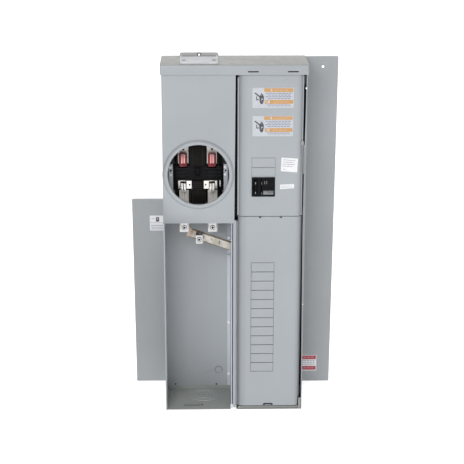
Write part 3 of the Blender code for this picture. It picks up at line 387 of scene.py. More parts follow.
def add_ring(bm, centre, profile, sides, material=0, phase=0.0, upright=False):
    """A closed (radius, height) profile turned about a line through centre; radius 0 closes the end.

    The line runs from front to back, or upwards if upright.
    """
    rows = []
    for step in range(sides):
        angle = phase + 2 * math.pi * step / sides
        row = []
        for radius, height in profile:
            u, v = radius * math.cos(angle), radius * math.sin(angle)
            place = (u, v, height) if upright else (u, height, v)
            row.append(bm.verts.new(tuple(centre[i] + place[i] for i in range(3))))
        rows.append(row)
    for row, after in zip(rows, rows[1:] + rows[:1]):
        for i in range(len(profile)):
            j = (i + 1) % len(profile)
            if profile[i][0] == 0 and profile[j][0] == 0:
                continue
            bm.faces.new((row[i], row[j], after[j], after[i])).material_index = material
    bmesh.ops.remove_doubles(bm, verts=[vert for row in rows for vert in row], dist=0.0001)


def add_disc(bm, centre, radius, low, high, edge, sides, material=0):
    """A solid round boss between two heights along its axis, with a chamfered rim at both ends."""
    profile = [(0.0, low), (radius - edge, low), (radius, low + edge), (radius, high - edge),
               (radius - edge, high), (0.0, high)]
    add_ring(bm, centre, profile, sides, material)


def rounded_loop(x, z, radius, steps=5):
    """Corner points of a rectangle whose corners are arcs."""
    points = []
    for u, v, start in ((x[1] - radius, z[1] - radius, 0), (x[0] + radius, z[1] - radius, 90),
                        (x[0] + radius, z[0] + radius, 180), (x[1] - radius, z[0] + radius, 270)):
        for step in range(steps + 1):
            angle = math.radians(start + 90 * step / steps)
            points.append((u + radius * math.cos(angle), v + radius * math.sin(angle)))
    return points


def add_frame(bm, outer, inner, front, back, edge=0.5, material=0):
    """A collar between two loops of as many points, from depth front to depth back."""
    def ring(loop, depth):
        return [bm.verts.new((x, at(depth), z)) for x, z in loop]

    def inset(loop, amount):
        cx, cz = (sum(p[i] for p in loop) / len(loop) for i in (0, 1))
        moved = []
        for x, z in loop:
            length = math.hypot(x - cx, z - cz)
            moved.append((x - (x - cx) / length * amount, z - (z - cz) / length * amount))
        return moved

    rings = [ring(outer, back), ring(outer, front + edge), ring(inset(outer, edge), front),
             ring(inset(inner, -edge), front), ring(inner, front + edge), ring(inner, back)]
    for first, second in zip(rings, rings[1:] + rings[:1]):
        for i in range(len(first)):
            j = (i + 1) % len(first)
            bm.faces.new((first[i], first[j], second[j], second[i])).material_index = material


def smooth_by_angle(degrees):
    """Node group that shades smooth and keeps every edge sharper than the angle."""
    tree = bpy.data.node_groups.new("smooth_by_angle", "GeometryNodeTree")
    tree.interface.new_socket("Geometry", in_out="INPUT", socket_type="NodeSocketGeometry")
    tree.interface.new_socket("Geometry", in_out="OUTPUT", socket_type="NodeSocketGeometry")
    start, end = tree.nodes.new("NodeGroupInput"), tree.nodes.new("NodeGroupOutput")
    angle = tree.nodes.new("GeometryNodeInputMeshEdgeAngle")
    compare = tree.nodes.new("FunctionNodeCompare")
    compare.data_type, compare.operation = "FLOAT", "GREATER_THAN"
    compare.inputs["B"].default_value = math.radians(degrees)
    smooth, sharp = (tree.nodes.new("GeometryNodeSetShadeSmooth") for _ in range(2))
    smooth.domain, sharp.domain = "FACE", "EDGE"
    sharp.inputs["Shade Smooth"].default_value = False
    tree.links.new(start.outputs[0], smooth.inputs["Geometry"])
    tree.links.new(smooth.outputs[0], sharp.inputs["Geometry"])
    tree.links.new(angle.outputs["Unsigned Angle"], compare.inputs["A"])
    tree.links.new(compare.outputs["Result"], sharp.inputs["Selection"])
    tree.links.new(sharp.outputs[0], end.inputs[0])
    return tree


SMOOTHING = smooth_by_angle(20)


def dress(node, key, bevel=0.3, merge=True):
    """Give a CAD node its material, and soften its folded and cut edges."""
    obj = NODES[node]
    obj.data.materials.clear()
    obj.data.materials.append(MATERIALS[key])
    weld = obj.modifiers.new("weld", "WELD")
    weld.merge_threshold = 0.00001
    if merge:
        flats = obj.modifiers.new("flats", "DECIMATE")
        flats.decimate_type = "DISSOLVE"
        flats.angle_limit = math.radians(0.4)
    if bevel:
        soften = obj.modifiers.new("edges", "BEVEL")
        soften.width = bevel * MM
        soften.segments = 2
        soften.limit_method = "ANGLE"
        soften.angle_limit = math.radians(32)
        soften.use_clamp_overlap = True
    shading = obj.modifiers.new("shading", "NODES")
    shading.node_group = SMOOTHING


# ---- CAD nodes that keep their shape ----
def dress_sheet_metal():
    dress("back_box", "paint_inside", merge=False)
    dress("bottom_pan", "paint_pan", merge=False)
    for node, look in (("front_post", "paint_post"), ("partition", "paint_flange_lit"), ("meter_cover", "paint"),
                       ("hanger_bracket", "paint_tab"), ("pull_cover", "paint_cover"),
                       ("load_cover", "paint_cover"), ("socket_bracket_left", "paint_bracket"),
                       ("socket_bracket_right", "paint_bracket")):
        dress(node, look)
    for node in ("upper_deadfront", "lower_deadfront"):
        dress(node, "paint_deadfront", 0, False)
    for node in ("top_cap", "top_header"):
        dress(node, "paint_cap", 0.4)
    for node in ("interior_pan", "breaker_rail", "deadfront_strap_lower", "deadfront_strap_middle",
                 "deadfront_strap_upper"):
        dress(node, "zinc_dull")
    dress("hub_plate", "zinc_hub", 0.5)
    dress("deadfront_catch", "zinc_soft", 0.5)


def dress_conductors():
    for node in sorted(NODES):
        if node.startswith(("line_bar", "load_bar", "bus_bar")):
            dress(node, "tin_bar")
        elif node in ("neutral_bar", "ground_bar", "neutral_lug", "line_lug_left", "line_lug_right"):
            dress(node, "aluminium", 0.5)
        elif "standoff" in node or node == "bus_insulator":
            dress(node, "black", 0.6)
        elif node.startswith(("partition_screw", "bracket_screw")):
            dress(node, "zinc_light", 0.2)
        elif node.startswith("hub_plate_screw"):
            dress(node, "zinc_hub", 0.2)
    dress("neutral_strap", "strap", 0.4)
    dress("main_breaker_handle", "black", 0.5)


# ---- meter socket ----
JAWS = {"left": (-130.0, 1), "right": (-56.0, -1)}      # centre line, and the way to the middle


def socket_moulding():
    """The block behind the jaws: slab, ears, stepped spine, ribbed cross and barriers round the bars."""
    (left, right), (_, back), (low, high) = span("socket_base")
    slab_front, spine_front, arm_front = at(60.0), at(44.0), at(48.0)
    slab_x, arm_x, spine_x, waist_x = (-152.0, -29.0), (-150.0, -31.0), (-112.5, -73.0), (-107.4, -78.6)
    ears_z, arm_z, arm_step_z = (596.0, 664.0), (624.0, 656.4), (655.0, 662.0)
    foot, middle, badge_z, rib_half = low + 2, -92.7, 697.0, 0.4
    bm = bmesh.new()
    add_box(bm, slab_x, (slab_front, back), (low, high), 1.6, 3, 1)
    add_box(bm, (left, right), (at(56.2), back - 0.5), ears_z, 1.0)
    for x, z in ((spine_x, (foot, 599.0)), (waist_x, (598.0, 624.0)), (spine_x, (662.0, 734.0))):
        add_box(bm, x, (spine_front, back - 1), z, 1.8, 3, 1)
    for z in ((667.0, 729.0), (foot + 4, 595.0)):
        add_box(bm, (spine_x[0] + 5, spine_x[1] - 5), (spine_front - 0.9, back - 2), z, 0.8, 2, 1)
    badge = [(8.4, 0.6), (8.4, -0.3), (7.9, -0.6), (7.2, -0.3), (7.2, 0.6)]
    add_ring(bm, (middle, spine_front - 1.0, badge_z), badge, 36, 1)
    add_disc(bm, (middle, spine_front - 1.0, badge_z), 1.6, -0.5, 0.6, 0.2, 16, 1)
    add_box(bm, arm_x, (arm_front, back - 1), arm_z, 1.4, 3)
    for x in ((arm_x[0], -141.2), (-118.8, -67.2), (-44.8, arm_x[1])):
        add_box(bm, x, (arm_front, back - 1), arm_step_z, 1.0)
    for centre, _ in JAWS.values():
        for x in around(centre, 13.2):
            add_box(bm, around(x, 1.2), depths(46.5, 52), (628.0, 653.0), 0.5)
        for z in ((629.0, 634.0), (647.0, 652.0)):
            add_box(bm, around(centre, 9.5), (arm_front - 0.8, at(52)), z, 0.5)
        for x in around(centre, 17.4):
            for z in ((664.0, 733.0), (foot + 1, 598.5)):
                add_box(bm, around(x, 1.3), (at(50), back - 1), z, 0.5)
    add_frame(bm, rounded_loop((-100.4, -85.0), (637.6, 658.6), 1.5, 2),
              rounded_loop((-98.8, -86.6), (639.2, 657.0), 1.0, 2), 42.8, 46.0, 0.4)
    stud = [(2.2, 0.5), (2.2, -0.3), (1.2, -0.3), (1.2, 0.5)]
    for z in (633.0, 642.5, 652.0):
        add_box(bm, (-99.0, -86.5), (spine_front + 2.4, at(50)), around(z, 3.2), 0.6)
        add_ring(bm, (middle, spine_front + 2.2, z), stud, 20, 1)
    # thin ridges in the paler black: painted highlight along the relief
    for x in (-111.6, -106.4, -79.6, -74.2):
        for z in ((668.0, 728.0), (foot + 6, 594.0)):
            add_box(bm, around(x, 0.35), (spine_front - 1.4, spine_front + 1), z, 0.2, 1, 2)
    for z in (626.0, 635.5, 645.5, 655.4):
        for x in ((-148.0, -114.0), (-71.0, -33.0)):
            add_box(bm, x, (arm_front - 0.6, arm_front + 1), around(z, rib_half), 0.2, 1, 2)
    for z in (600.5, 606.0, 611.5, 617.0):
        add_box(bm, (-105.0, -81.0), (spine_front - 0.5, spine_front + 1), around(z, rib_half), 0.2, 1, 2)
    new_piece("socket_moulding", bm, ("black", "brown_black", "black_edge_highlight"), "box",
              ("socket_base",))


def jaw_fingers(bm, centre, near, far, z, front, material=0):
    """Two spring fingers: a bright face each, a rolled tip and a waist behind it."""
    for side in (-1, 1):
        face = sorted((centre + side * near, centre + side * far))
        add_box(bm, face, depths(front, front + 2.4), z, 0.5, 2, material)
        waist = sorted((centre + side * (near + 0.7), centre + side * (far - 0.6)))
        add_box(bm, waist, depths(front + 2.0, 56.0), (z[0] + 0.8, z[1] - 0.8), 0.4, 2, material)


def upper_jaws():
    """Fingers inside a red collar, tinted pink as painted reflection of it, with a metal arch over the
    top of them.
    """
    fingers_z, fingers_front, collar_z = (669.6, 691.0), 42.6, (660.8, 696.0)
    for side, (centre, _) in JAWS.items():
        bm = bmesh.new()
        # fingers and back plate in pink tin: painted reflection of the red collar
        jaw_fingers(bm, centre, 0.9, 5.2, fingers_z, fingers_front, 1)
        add_box(bm, around(centre, 7.6), depths(54.8, 56.4), (668.0, 696.0), 0.4, 2, 1)
        add_frame(bm, rounded_loop(around(centre, 6.6), (688.0, 694.6), 3.2),
                  rounded_loop(around(centre, 4.4), (689.0, 691.6), 1.2), fingers_front, 46.0, 0.8, 2)
        new_piece("blade_jaw_upper_" + side, bm, ("tin_bright", "tin_red_reflection", "tin_dark"), "box",
                  ("upper_jaw_" + side,))
        bm = bmesh.new()
        outer = rounded_loop(around(centre, 10.4), collar_z, 4.4)
        add_frame(bm, outer, rounded_loop(around(centre, 6.2), (668.4, 693.4), 2.4), 43.0, 56.0, 1.2)
        for edge in (-1, 1):
            wing = sorted((centre + edge * 5.8, centre + edge * 8.2))
            add_box(bm, wing, depths(41.2, 45), (665.4, 693.0), 0.8)
        add_box(bm, around(centre, 0.7), depths(43.4, 55), (666.0, 691.0), 0.3, 1)
        for z in ((661.6, 663.4), (665.2, 667.8)):
            add_box(bm, around(centre, 8.2), depths(41.4, 46), z, 0.6)
        new_piece("jaw_collar_" + side, bm, ("red",), "box", ("jaw_guide_" + side,))


def lower_jaws():
    """Fingers between a drilled inner plate and a folded outer one, joined by strips at foot and head."""
    plate_z, plate_depth, steps, bore_radius = (600.4, 621.6), (51.6, 56.4), 5, 2.1
    for side, (centre, inward) in JAWS.items():
        bm = bmesh.new()
        jaw_fingers(bm, centre, 0.7, 6.4, (594.0, 616.6), 42.0)
        hole_x, hole_z = centre + 16.4 * inward, 611.0
        plate = sorted((centre + 8.2 * inward, centre + 21.4 * inward))
        turns = [math.radians(90 * q + 90 * s / steps) for q in range(4) for s in range(steps + 1)]
        bore = [(hole_x + bore_radius * math.cos(a), hole_z + bore_radius * math.sin(a)) for a in turns]
        add_frame(bm, rounded_loop(plate, plate_z, 0.8, steps), bore, *plate_depth, 0.3)
        outer = sorted((centre - 13.6 * inward, centre - 7.8 * inward))
        add_box(bm, outer, depths(*plate_depth), plate_z, 0.5)
        add_box(bm, around(centre, 13.0), depths(54.8, 56.4), (600.6, 603.0))
        add_box(bm, around(centre, 8.4), depths(51.8, 53.4), (620.0, 621.8))
        new_piece("blade_jaw_lower_" + side, bm, ("tin_bright",), "box", ("lower_jaw_" + side,))
        bm = bmesh.new()
        add_box(bm, around(centre, 6.8), depths(50.5, 54.4), (617.0, 620.0), 0.6)
        add_box(bm, around(centre, 0.9), depths(44, 54.4), (598.0, 616.0))
        add_box(bm, around(centre, 7.4), depths(54.0, 56.4), (603.4, 621.6), 0.3, 1)
        new_piece("jaw_spacer_" + side, bm, ("brown_black",), "box")
        bm = bmesh.new()
        bar_front = span("line_bar_" + side)[1][0]
        # dark discs in the bar and plate holes and thin dark lines on the bar: painted shadow
        add_disc(bm, (centre, bar_front, 703.6), 3.0, -0.25, 0.1, 0.05, 24)
        add_disc(bm, (hole_x, at(plate_depth[1]), hole_z), 2.4, -0.2, 0.1, 0.05, 24)
        for x, foot in ((centre - 2.9, 582.0), (centre + 2.6, 574.0)):
            add_box(bm, around(x, 0.3), (bar_front - 0.15, bar_front + 0.1), (foot, 599.0), 0)
        new_piece("bar_holes_" + side, bm, ("recess",), "box")
    bm = bmesh.new()
    add_box(bm, (-36.4, -33.6), depths(50.0, 60.4), (606.5, 622.5))
    add_box(bm, (-36.4, -30.6), depths(58.6, 60.4), (604.0, 622.5))
    new_piece("bonding_tab", bm, ("tin_bright",), "box")


# ---- lugs and bars ----
def set_screws():
    """Cup-faced set screws: threaded rim, chamfer and a six-sided socket."""
    turns, socket, floor, run_out = 5, 3.3, 6.5, 0.7
    for node in ("line_lug_screw_left", "line_lug_screw_right", "neutral_lug_screw"):
        x, y, z = span(node)
        centre = (sum(x) / 2, y[0], sum(z) / 2)
        radius, length = (x[1] - x[0]) / 2, y[1] - y[0]
        threaded = length - 2 * run_out
        profile = [(socket, floor), (socket, 0.5), (socket + 0.6, 0.0), (radius - 1.1, 0.0)]
        for turn in range(turns):
            crest = run_out + threaded * turn / turns
            profile += [(radius - 0.05, crest), (radius - 0.55, crest + threaded / turns / 2)]
        bm = bmesh.new()
        add_ring(bm, centre, profile + [(radius - 0.6, length), (0.0, length), (0.0, floor)], 36)
        add_ring(bm, centre, [(3.35, 0.4), (3.35, 5.0), (2.75, 5.0), (2.75, 0.7)], 6, 1, math.radians(30))
        add_disc(bm, centre, 3.2, 4.6, 6.4, 0.1, 24, 1)
        dark_rim = [(radius - 1.2, -0.1), (radius + 0.28, -0.1), (radius + 0.28, 0.4), (radius - 1.2, 0.4)]
        add_ring(bm, centre, dark_rim, 36, 1)
        new_piece(node + "_threaded", bm, ("zinc", "socket_dark"), "box", (node,))


def terminal_screws():
    """Slotted screws along the neutral and ground bars."""
    for node, pitch, first in (("neutral_bar", 14.5, 216.0), ("ground_bar", 14.4, 131.0)):
        x, (face, _), _ = span(node)
        middle = sum(x) / 2
        bm = bmesh.new()
        for i in range(14):
            z = first + i * pitch
            add_disc(bm, (middle, face, z), 3.4, -2.2, 0.2, 0.5, 20)
            add_box(bm, around(middle, 2.8), (face - 2.35, face - 1.6), around(z, 0.35), 0, 1, 1)
        new_piece(node + "_terminals", bm, ("zinc", "socket_dark"), "box")


def strap_details():
    """Bolts through the neutral strap, and raised dark strips along its slope, coloured as painted shade
    of its bent edges.
    """
    face = span("neutral_strap")[1][0]
    bm = bmesh.new()
    for x, z, radius, sides in ((-108.6, 478.6, 4.6, 24), (-78.6, 466.4, 3.4, 6), (-58.0, 460.2, 2.4, 6)):
        add_disc(bm, (x, face, z), radius, -1.5, 0.2, 0.5, sides)
        add_disc(bm, (x, face, z), radius * 0.55, -2.3, -1.2, 0.3, 20, 1)
    new_piece("strap_bolts", bm, ("strap", "tin_dark"), "box")
    bm = bmesh.new()
    (x0, z0), (x1, z1), half = (-113.0, 479.5), (-7.5, 442.0), 12.2
    length = math.hypot(x1 - x0, z1 - z0)
    normal = ((z0 - z1) / length, (x1 - x0) / length)
    # dark strips along the top and bottom edges: painted shade of the bends
    for low, high, proud in ((half - 4.2, half - 0.2, 1.4), (-half + 0.2, -half + 1.4, 0.7)):
        loop = [(px + normal[0] * lift, pz + normal[1] * lift)
                for px, pz, lift in ((x0, z0, high), (x0, z0, low), (x1, z1, low), (x1, z1, high))]
        front, back = ([bm.verts.new((px, y, pz)) for px, pz in loop] for y in (face - proud, face + 0.3))
        for ring in [front, back[::-1]] + [(front[i], front[i - 1], back[i - 1], back[i]) for i in range(4)]:
            bm.faces.new(ring)
    new_piece("strap_edge_shade_strips", bm, ("strap_edge",), "box")


def feed_bar_bolts():
    """Hexagon bolts and washers that hold the load bars down on their standoff."""
    bar_front = span("line_bar_left")[1][0]
    bm = bmesh.new()
    for centre, _ in JAWS.values():
        for z in (748.0, 764.0):
            add_disc(bm, (centre + 1.5, bar_front, z), 4.4, -3.4, 0.2, 0.4, 6)
            add_disc(bm, (centre + 1.5, bar_front, z), 5.4, -0.9, 0.2, 0.2, 28)
    new_piece("feed_bar_bolts", bm, ("zinc",), "box")


# ---- main breaker ----
def main_breaker_case():
    """Two-pole case: shouldered body, framed handle window, joint line, printed marks and a rating plate."""
    x, y, z = span("main_breaker")
    (face_left, face_right), face_y, shoulder_y = (45.1, 103.0), y[0], at(24.0)
    window_x, window_z = (51.0, 70.0), (z[0] + 4.0, z[1] - 4.0)
    middle = (z[0] + z[1]) / 2
    bm = bmesh.new()
    for low, high in ((z[0], middle - 0.3), (middle + 0.3, z[1])):
        add_box(bm, x, (shoulder_y, y[1]), (low, high), 0.9)
        add_box(bm, (window_x[1], face_right), (face_y, shoulder_y + 4), (low, high), 0.7)
        add_box(bm, (face_left, window_x[0]), (face_y, shoulder_y + 4), (low, high), 0.7)
    for low, high in ((z[0], window_z[0]), (window_z[1], z[1])):
        add_box(bm, (window_x[0] - 1, window_x[1] + 1), (face_y + 0.1, shoulder_y + 4), (low, high), 0.5)
    for low, high in ((z[0] + 2.2, middle - 2.0), (middle + 2.0, z[1] - 2.2)):
        add_frame(bm, rounded_loop((84.5, 101.2), (low + 9.0, high), 1.0, 2),
                  rounded_loop((85.7, 100.0), (low + 10.2, high - 1.2), 0.8, 2), -2.35, 0.0, 0.15)
    marks = ((69.8, 625.0, 631.0), (77.4, 626.0, 634.0), (82.4, 626.0, 634.8), (69.8, 599.0, 604.0))
    for mark_x, low, high in marks:
        add_box(bm, around(mark_x, 0.55), (face_y - 0.08, face_y + 0.3), (low, high), 0, 1, 1)
    plate = (74.0, 99.4)
    add_box(bm, plate, (face_y - 0.15, face_y + 0.3), (598.8, 608.6), 0.1, 1, 2)
    for i in range(6):
        start = plate[0] + 1.6 + i * 3.9
        add_box(bm, (start, start + 2.6), (face_y - 0.2, face_y), (606.2, 607.4), 0, 1, 3)
    new_piece("main_breaker_case", bm, ("black", "mark_white", "plate_grey", "label_dark"), "box",
              ("main_breaker",))


def handle_details():
    """Printed mark and grip ribs on both poles of the tied handle, set at the angle it rests at."""
    z = span("main_breaker")[2]
    middle, pole_half, reach, rest_degrees = (z[0] + z[1]) / 2, 12.7, (-19.0, -12.5), -20
    bm = bmesh.new()
    for pole in (-pole_half, pole_half):
        add_box(bm, (-1.0, 1.0), (-20.12, -19.6), around(pole, 2.6), 0.1, 1)
        for rib in range(3):
            low = pole - 4.2 + rib * 3.4
            for x in ((-3.05, -2.6), (2.6, 3.05)):
                add_box(bm, x, reach, (low, low + 1.4), 0.2, 1, 1)
    bm.transform(Matrix.Translation((60.5, at(8.0), middle))
                 @ Matrix.Rotation(math.radians(rest_degrees), 4, "Z"))
    new_piece("handle_marks_and_grips", bm, ("mark_white", "black"), "main_handle")


# ---- labels ----
def plane_of(node):
    """Y, in millimetres, of a node's largest front-facing plane at a point (x, z)."""
    faces = [face for face in NODES[node].data.polygons if face.normal.y < -0.9]
    widest = max(faces, key=lambda face: face.area)
    normal, point = widest.normal.copy(), widest.center / MM
    return lambda x, z: point.y - (normal.x * (x - point.x) + normal.z * (z - point.z)) / normal.y


FILM = 0.16          # thickness of a sticker
INK = 0.05           # how far each printed layer stands above the last


def sticker(name, node, corners, prints, materials):
    """A film sticker on a cover, whose node and body share a name.

    corners run top left, top right, bottom left, bottom right as (x, z).

    prints are (u pair, v pair, layer, material): u to the right and v down, each from 0 to 1.
    """
    plane = plane_of(node)
    (ax, az), (bx, bz), (cx, cz), (dx, dz) = corners

    def spot(u, v, height):
        x = (ax * (1 - u) + bx * u) * (1 - v) + (cx * (1 - u) + dx * u) * v
        z = (az * (1 - u) + bz * u) * (1 - v) + (cz * (1 - u) + dz * u) * v
        return (x, plane(x, z) - height, z)

    bm = bmesh.new()
    for us, vs, layer, material in [((0.0, 1.0), (0.0, 1.0), 0, 0)] + prints:
        top = FILM + INK * layer
        loop = ((us[0], vs[0]), (us[1], vs[0]), (us[1], vs[1]), (us[0], vs[1]))
        near, far = ([bm.verts.new(spot(u, v, height)) for u, v in loop] for height in (top, -0.3))
        sides = [(near[i], near[(i + 1) % 4], far[(i + 1) % 4], far[i]) for i in range(4)]
        for face in [near, far[::-1]] + sides:
            bm.faces.new(face).material_index = material
    new_piece(name, bm, materials, node)


def dashes(v, height, row, length, layer, material):
    """A row of blank dashes, where a real label has words; row is its first start, pitch and count."""
    first, pitch, count = row
    starts = [first + pitch * i for i in range(count)]
    return [((start, start + length), (v, v + height), layer, material) for start in starts]


def hazard_prints(first_bar, second_bar):
    """Generic picture block at the left, two orange bars and rows of blank dashes."""
    white, orange, grey, dark, cream = 0, 1, 2, 3, 4
    prints = [((0.285, 0.985), first_bar, 1, orange), ((0.30, 0.985), second_bar, 1, orange),
              ((0.44, 0.48), (first_bar[0] + 0.04, first_bar[1] - 0.04), 2, white),
              ((0.315, 0.36), (second_bar[0] + 0.03, second_bar[1] - 0.03), 2, cream),
              ((0.375, 0.42), (second_bar[0] + 0.03, second_bar[1] - 0.03), 2, white)]
    for bar in (first_bar, second_bar):
        prints += dashes((bar[0] + bar[1]) / 2 - 0.02, 0.045, (0.52, 0.07, 5), 0.05, 2, cream)
    prints += [((0.05 + 0.03 * i, 0.095 + 0.03 * i), (0.24 + 0.05 * i, 0.30 + 0.05 * i), 1, dark)
               for i in range(4)]
    prints += [((0.09, 0.11), (0.42, 0.60), 1, dark), ((0.10, 0.15), (0.56, 0.62), 1, dark)]
    outline = ((0.31, 0.30), (0.37, 0.70), (0.44, 1.0), (0.52, 1.0), (0.60, 0.95), (0.68, 0.85), (0.75, 0.55))
    for i, (v, wide) in enumerate(outline):
        half = 0.055 * wide
        prints.append(((0.222 - half, 0.222 + half), (v - 0.03, v + 0.055), 1 + i % 2, dark))
    prints += [((0.195, 0.225), (0.34, 0.40), 3, grey), ((0.215, 0.25), (0.53, 0.59), 3, white),
               ((0.20, 0.23), (0.61, 0.66), 3, grey)]
    gap = second_bar[0] - first_bar[1]
    for row in range(4):
        v, odd = first_bar[1] + gap * (0.12 + 0.21 * row), row % 2
        prints += dashes(v, gap * 0.10, (0.32 + 0.05 * odd, 0.08, 8 - odd), 0.066, 1, grey)
    for row in range(2):
        v = second_bar[1] + 0.035 + 0.055 * row
        prints += dashes(v, 0.028, (0.36 + 0.03 * row, 0.08, 7), 0.062, 1, grey)
    return prints


def corners_of(x, z):
    """Sticker corners of an upright rectangle."""
    return ((x[0], z[1]), (x[1], z[1]), (x[0], z[0]), (x[1], z[0]))


def labels():
    hazard = ("label_white", "label_orange", "label_grey", "label_dark", "label_cream")
    for name, x, z, bars in (("label_top", (45.0, 147.8), (822.0, 872.7), ((0.02, 0.21), (0.60, 0.80))),
                             ("label_second", (45.6, 147.0), (750.0, 801.5), ((0.02, 0.19), (0.60, 0.79)))):
        sticker(name, "upper_deadfront", corners_of(x, z), hazard_prints(*bars), hazard)
    rows = []
    for row, count in ((0, 9), (1, 8), (2, 9), (3, 7)):
        rows += dashes(0.13 + 0.15 * row, 0.045, (0.09, 0.085, count), 0.066, 1, 1)
    rows += dashes(0.84, 0.035, (0.12, 0.08, 2), 0.05, 1, 1)
    paper = ("paper_white", "label_grey")
    sticker("paper_note", "upper_deadfront",
            ((119.4, 694.5), (161.2, 691.8), (118.1, 659.4), (159.2, 655.8)), rows, paper)
    rows = dashes(0.34, 0.10, (0.08, 0.1, 6), 0.07, 1, 1)
    rows += dashes(0.62, 0.08, (0.08, 0.1, 8), 0.07, 1, 1)
    sticker("paper_strip", "upper_deadfront",
            ((116.5, 624.0), (152.1, 625.7), (116.7, 612.2), (152.3, 614.7)), rows, paper)
    left = [((0.225, 0.345), (0.11, 0.40), 1, 1), ((0.265, 0.30), (0.19, 0.26), 2, 0),
            ((0.02, 0.98), (0.46, 0.48), 1, 2), ((0.06, 0.16), (0.18, 0.21), 1, 2)]
    for row in range(3):
        left += dashes(0.63 + 0.12 * row, 0.045, (0.05, 0.06, 14), 0.052, 1, 2)
    sticker("cover_label_left", "pull_cover", corners_of((-222.7, -150.0), (457.5, 500.5)), left,
            ("paper_white", "label_dark", "label_grey"))
    right = [((0.02, 0.98), (0.03, 0.27), 1, 1), ((0.02, 0.98), (0.70, 0.95), 1, 1)]
    right += dashes(0.11, 0.06, (0.10, 0.14, 6), 0.10, 2, 3)
    right += dashes(0.79, 0.06, (0.10, 0.14, 6), 0.10, 2, 3)
    for row in range(3):
        right += dashes(0.33 + 0.12 * row, 0.04, (0.06, 0.1, 9), 0.075, 1, 2)
    sticker("cover_label_right", "load_cover", corners_of((160.0, 236.4), (32.0, 80.0)), right,
            ("paper_white", "label_red", "label_grey", "label_pink"))


# ---- lines in the sheet metal ----
def cut_lines():
    """Dark outlines round every twist-out, painted shadow in their open cuts, and bands of painted
    shade at the foot of the meter ring.
    """
    width, (left, right), pitch = 0.85, (44.3, 103.8), 25.4
    for node, first, count, look in (("lower_deadfront", 110.6, 12, "paint_line"),
                                     ("upper_deadfront", 643.6, 2, "paint_faint_line_shadow")):
        plane = plane_of(node)
        face = plane(left, first)
        bm = bmesh.new()
        for i in range(count + 1):
            z = first + i * pitch
            add_box(bm, (left, right), (face - 0.05, face + 0.2), around(z, width / 2), 0)
        for x in (left, right):
            add_box(bm, around(x, width / 2), (face - 0.06, face + 0.2),
                    (first, first + count * pitch), 0)
        new_piece("twist_out_lines_" + node, bm, (look,), node)
    bm = bmesh.new()
    centre = (-90.7, at(0), 651.4)
    # three nested bands of painted shade along the foot of the ring
    for inner, outer, lift, material in ((85.6, 91.2, 0.06, 0), (86.8, 90.2, 0.10, 1), (87.8, 89.3, 0.14, 2)):
        rows = [(radius, -6.9 + 5.0 * min(1.0, max(0.0, (radius - 83.4) / 7.6)) - lift)
                for radius in (inner, outer)]
        profile = rows + [(radius, depth + 0.3) for radius, depth in reversed(rows)]
        add_ring(bm, centre, profile, 120, material)
    new_piece("ring_foot_shade", bm, ("paint_crease_shade", "paint_fold_shade", "paint_groove_shade"), "meter_cover")


def hemmed_edge():
    """Rolled hems down both sides of the upper deadfront."""
    (left, right), _, (low, high) = span("upper_deadfront")
    bm = bmesh.new()
    for x, near, head in (((left - 1.7, left + 2.2), 6.2, 7.0), ((right - 3.2, right + 0.15), 5.8, 1.0)):
        add_box(bm, x, depths(near, 10.4), (low + 0.5, high - head), 1.2, 3)
    new_piece("hemmed_edge", bm, ("paint",), "upper_deadfront")


def dark_recesses():
    """Painted shadow behind the cap's slots, in the latch slot round its tongue and in the gap between
    the columns; small plugs, with painted shadow in the pull section's notches and floor slots.
    """
    skirt = span("top_cap")[1][0]
    bm = bmesh.new()
    # black strips behind the slots: painted shadow
    for x in (33.4, 132.1):
        add_box(bm, (x - 0.5, x + 27.0), (skirt + 1.9, skirt + 2.4), (911.6, 916.2), 0.1, 1)
    new_piece("cap_slot_shadow", bm, ("black",), "box")
    bm = bmesh.new()
    # black bar and hump: painted shadow in the latch slot; the tongue in darkened paint: painted shade
    add_box(bm, (78.0, 104.2), depths(-0.1, 1.4), (13.0, 17.0), 0.3)
    add_box(bm, (80.6, 101.6), depths(-0.2, 1.4), (15.6, 18.4), 1.2, 3)
    add_box(bm, (82.6, 99.6), depths(-0.5, 1.4), (12.2, 15.6), 0.8, 2, 1)
    new_piece("latch_tongue", bm, ("black", "paint_groove_shade"), "lower_deadfront")
    bm = bmesh.new()
    # black strip down the gap between the columns: painted shadow
    add_box(bm, (-2.4, 11.4), depths(16.0, 18.0), (536.0, 904.0), 0.3, 1)
    for z in range(560, 900, 55):
        add_box(bm, (-1.0, 10.0), depths(15.2, 17.0), around(z, 2.0), 0.4, 1)
    new_piece("column_gap_shadow", bm, ("black",), "box")
    back, left = span("back_box")[1][1], span("back_box")[0][0]
    bm = bmesh.new()
    for x, z in ((-159.0, 13.4), (-45.0, 12.5)):
        add_disc(bm, (x, back - 1.6, z), 2.9, -0.3, 0.9, 0.2, 24, 1)
    # dark notches in the left wall and dark slots in the floor: painted shadow
    for depth, z in ((124.0, (16.0, 33.0)), (21.0, (14.0, 22.0))):
        add_box(bm, (left + 0.4, left + 2.2), depths(depth - 3.2, depth + 3.2), z, 0.3, 1)
    for y in (depths(24.6, 26.0), depths(31.0, 32.0)):
        add_box(bm, (-134.0, -90.0), y, (1.4, 2.9), 0.2, 1, 1)
    add_box(bm, (-88.0, -82.0), depths(25.0, 32.0), (1.4, 2.4), 0.3, 1, 1)
    new_piece("pull_section_plugs", bm, ("recess", "paint_line"), "box")


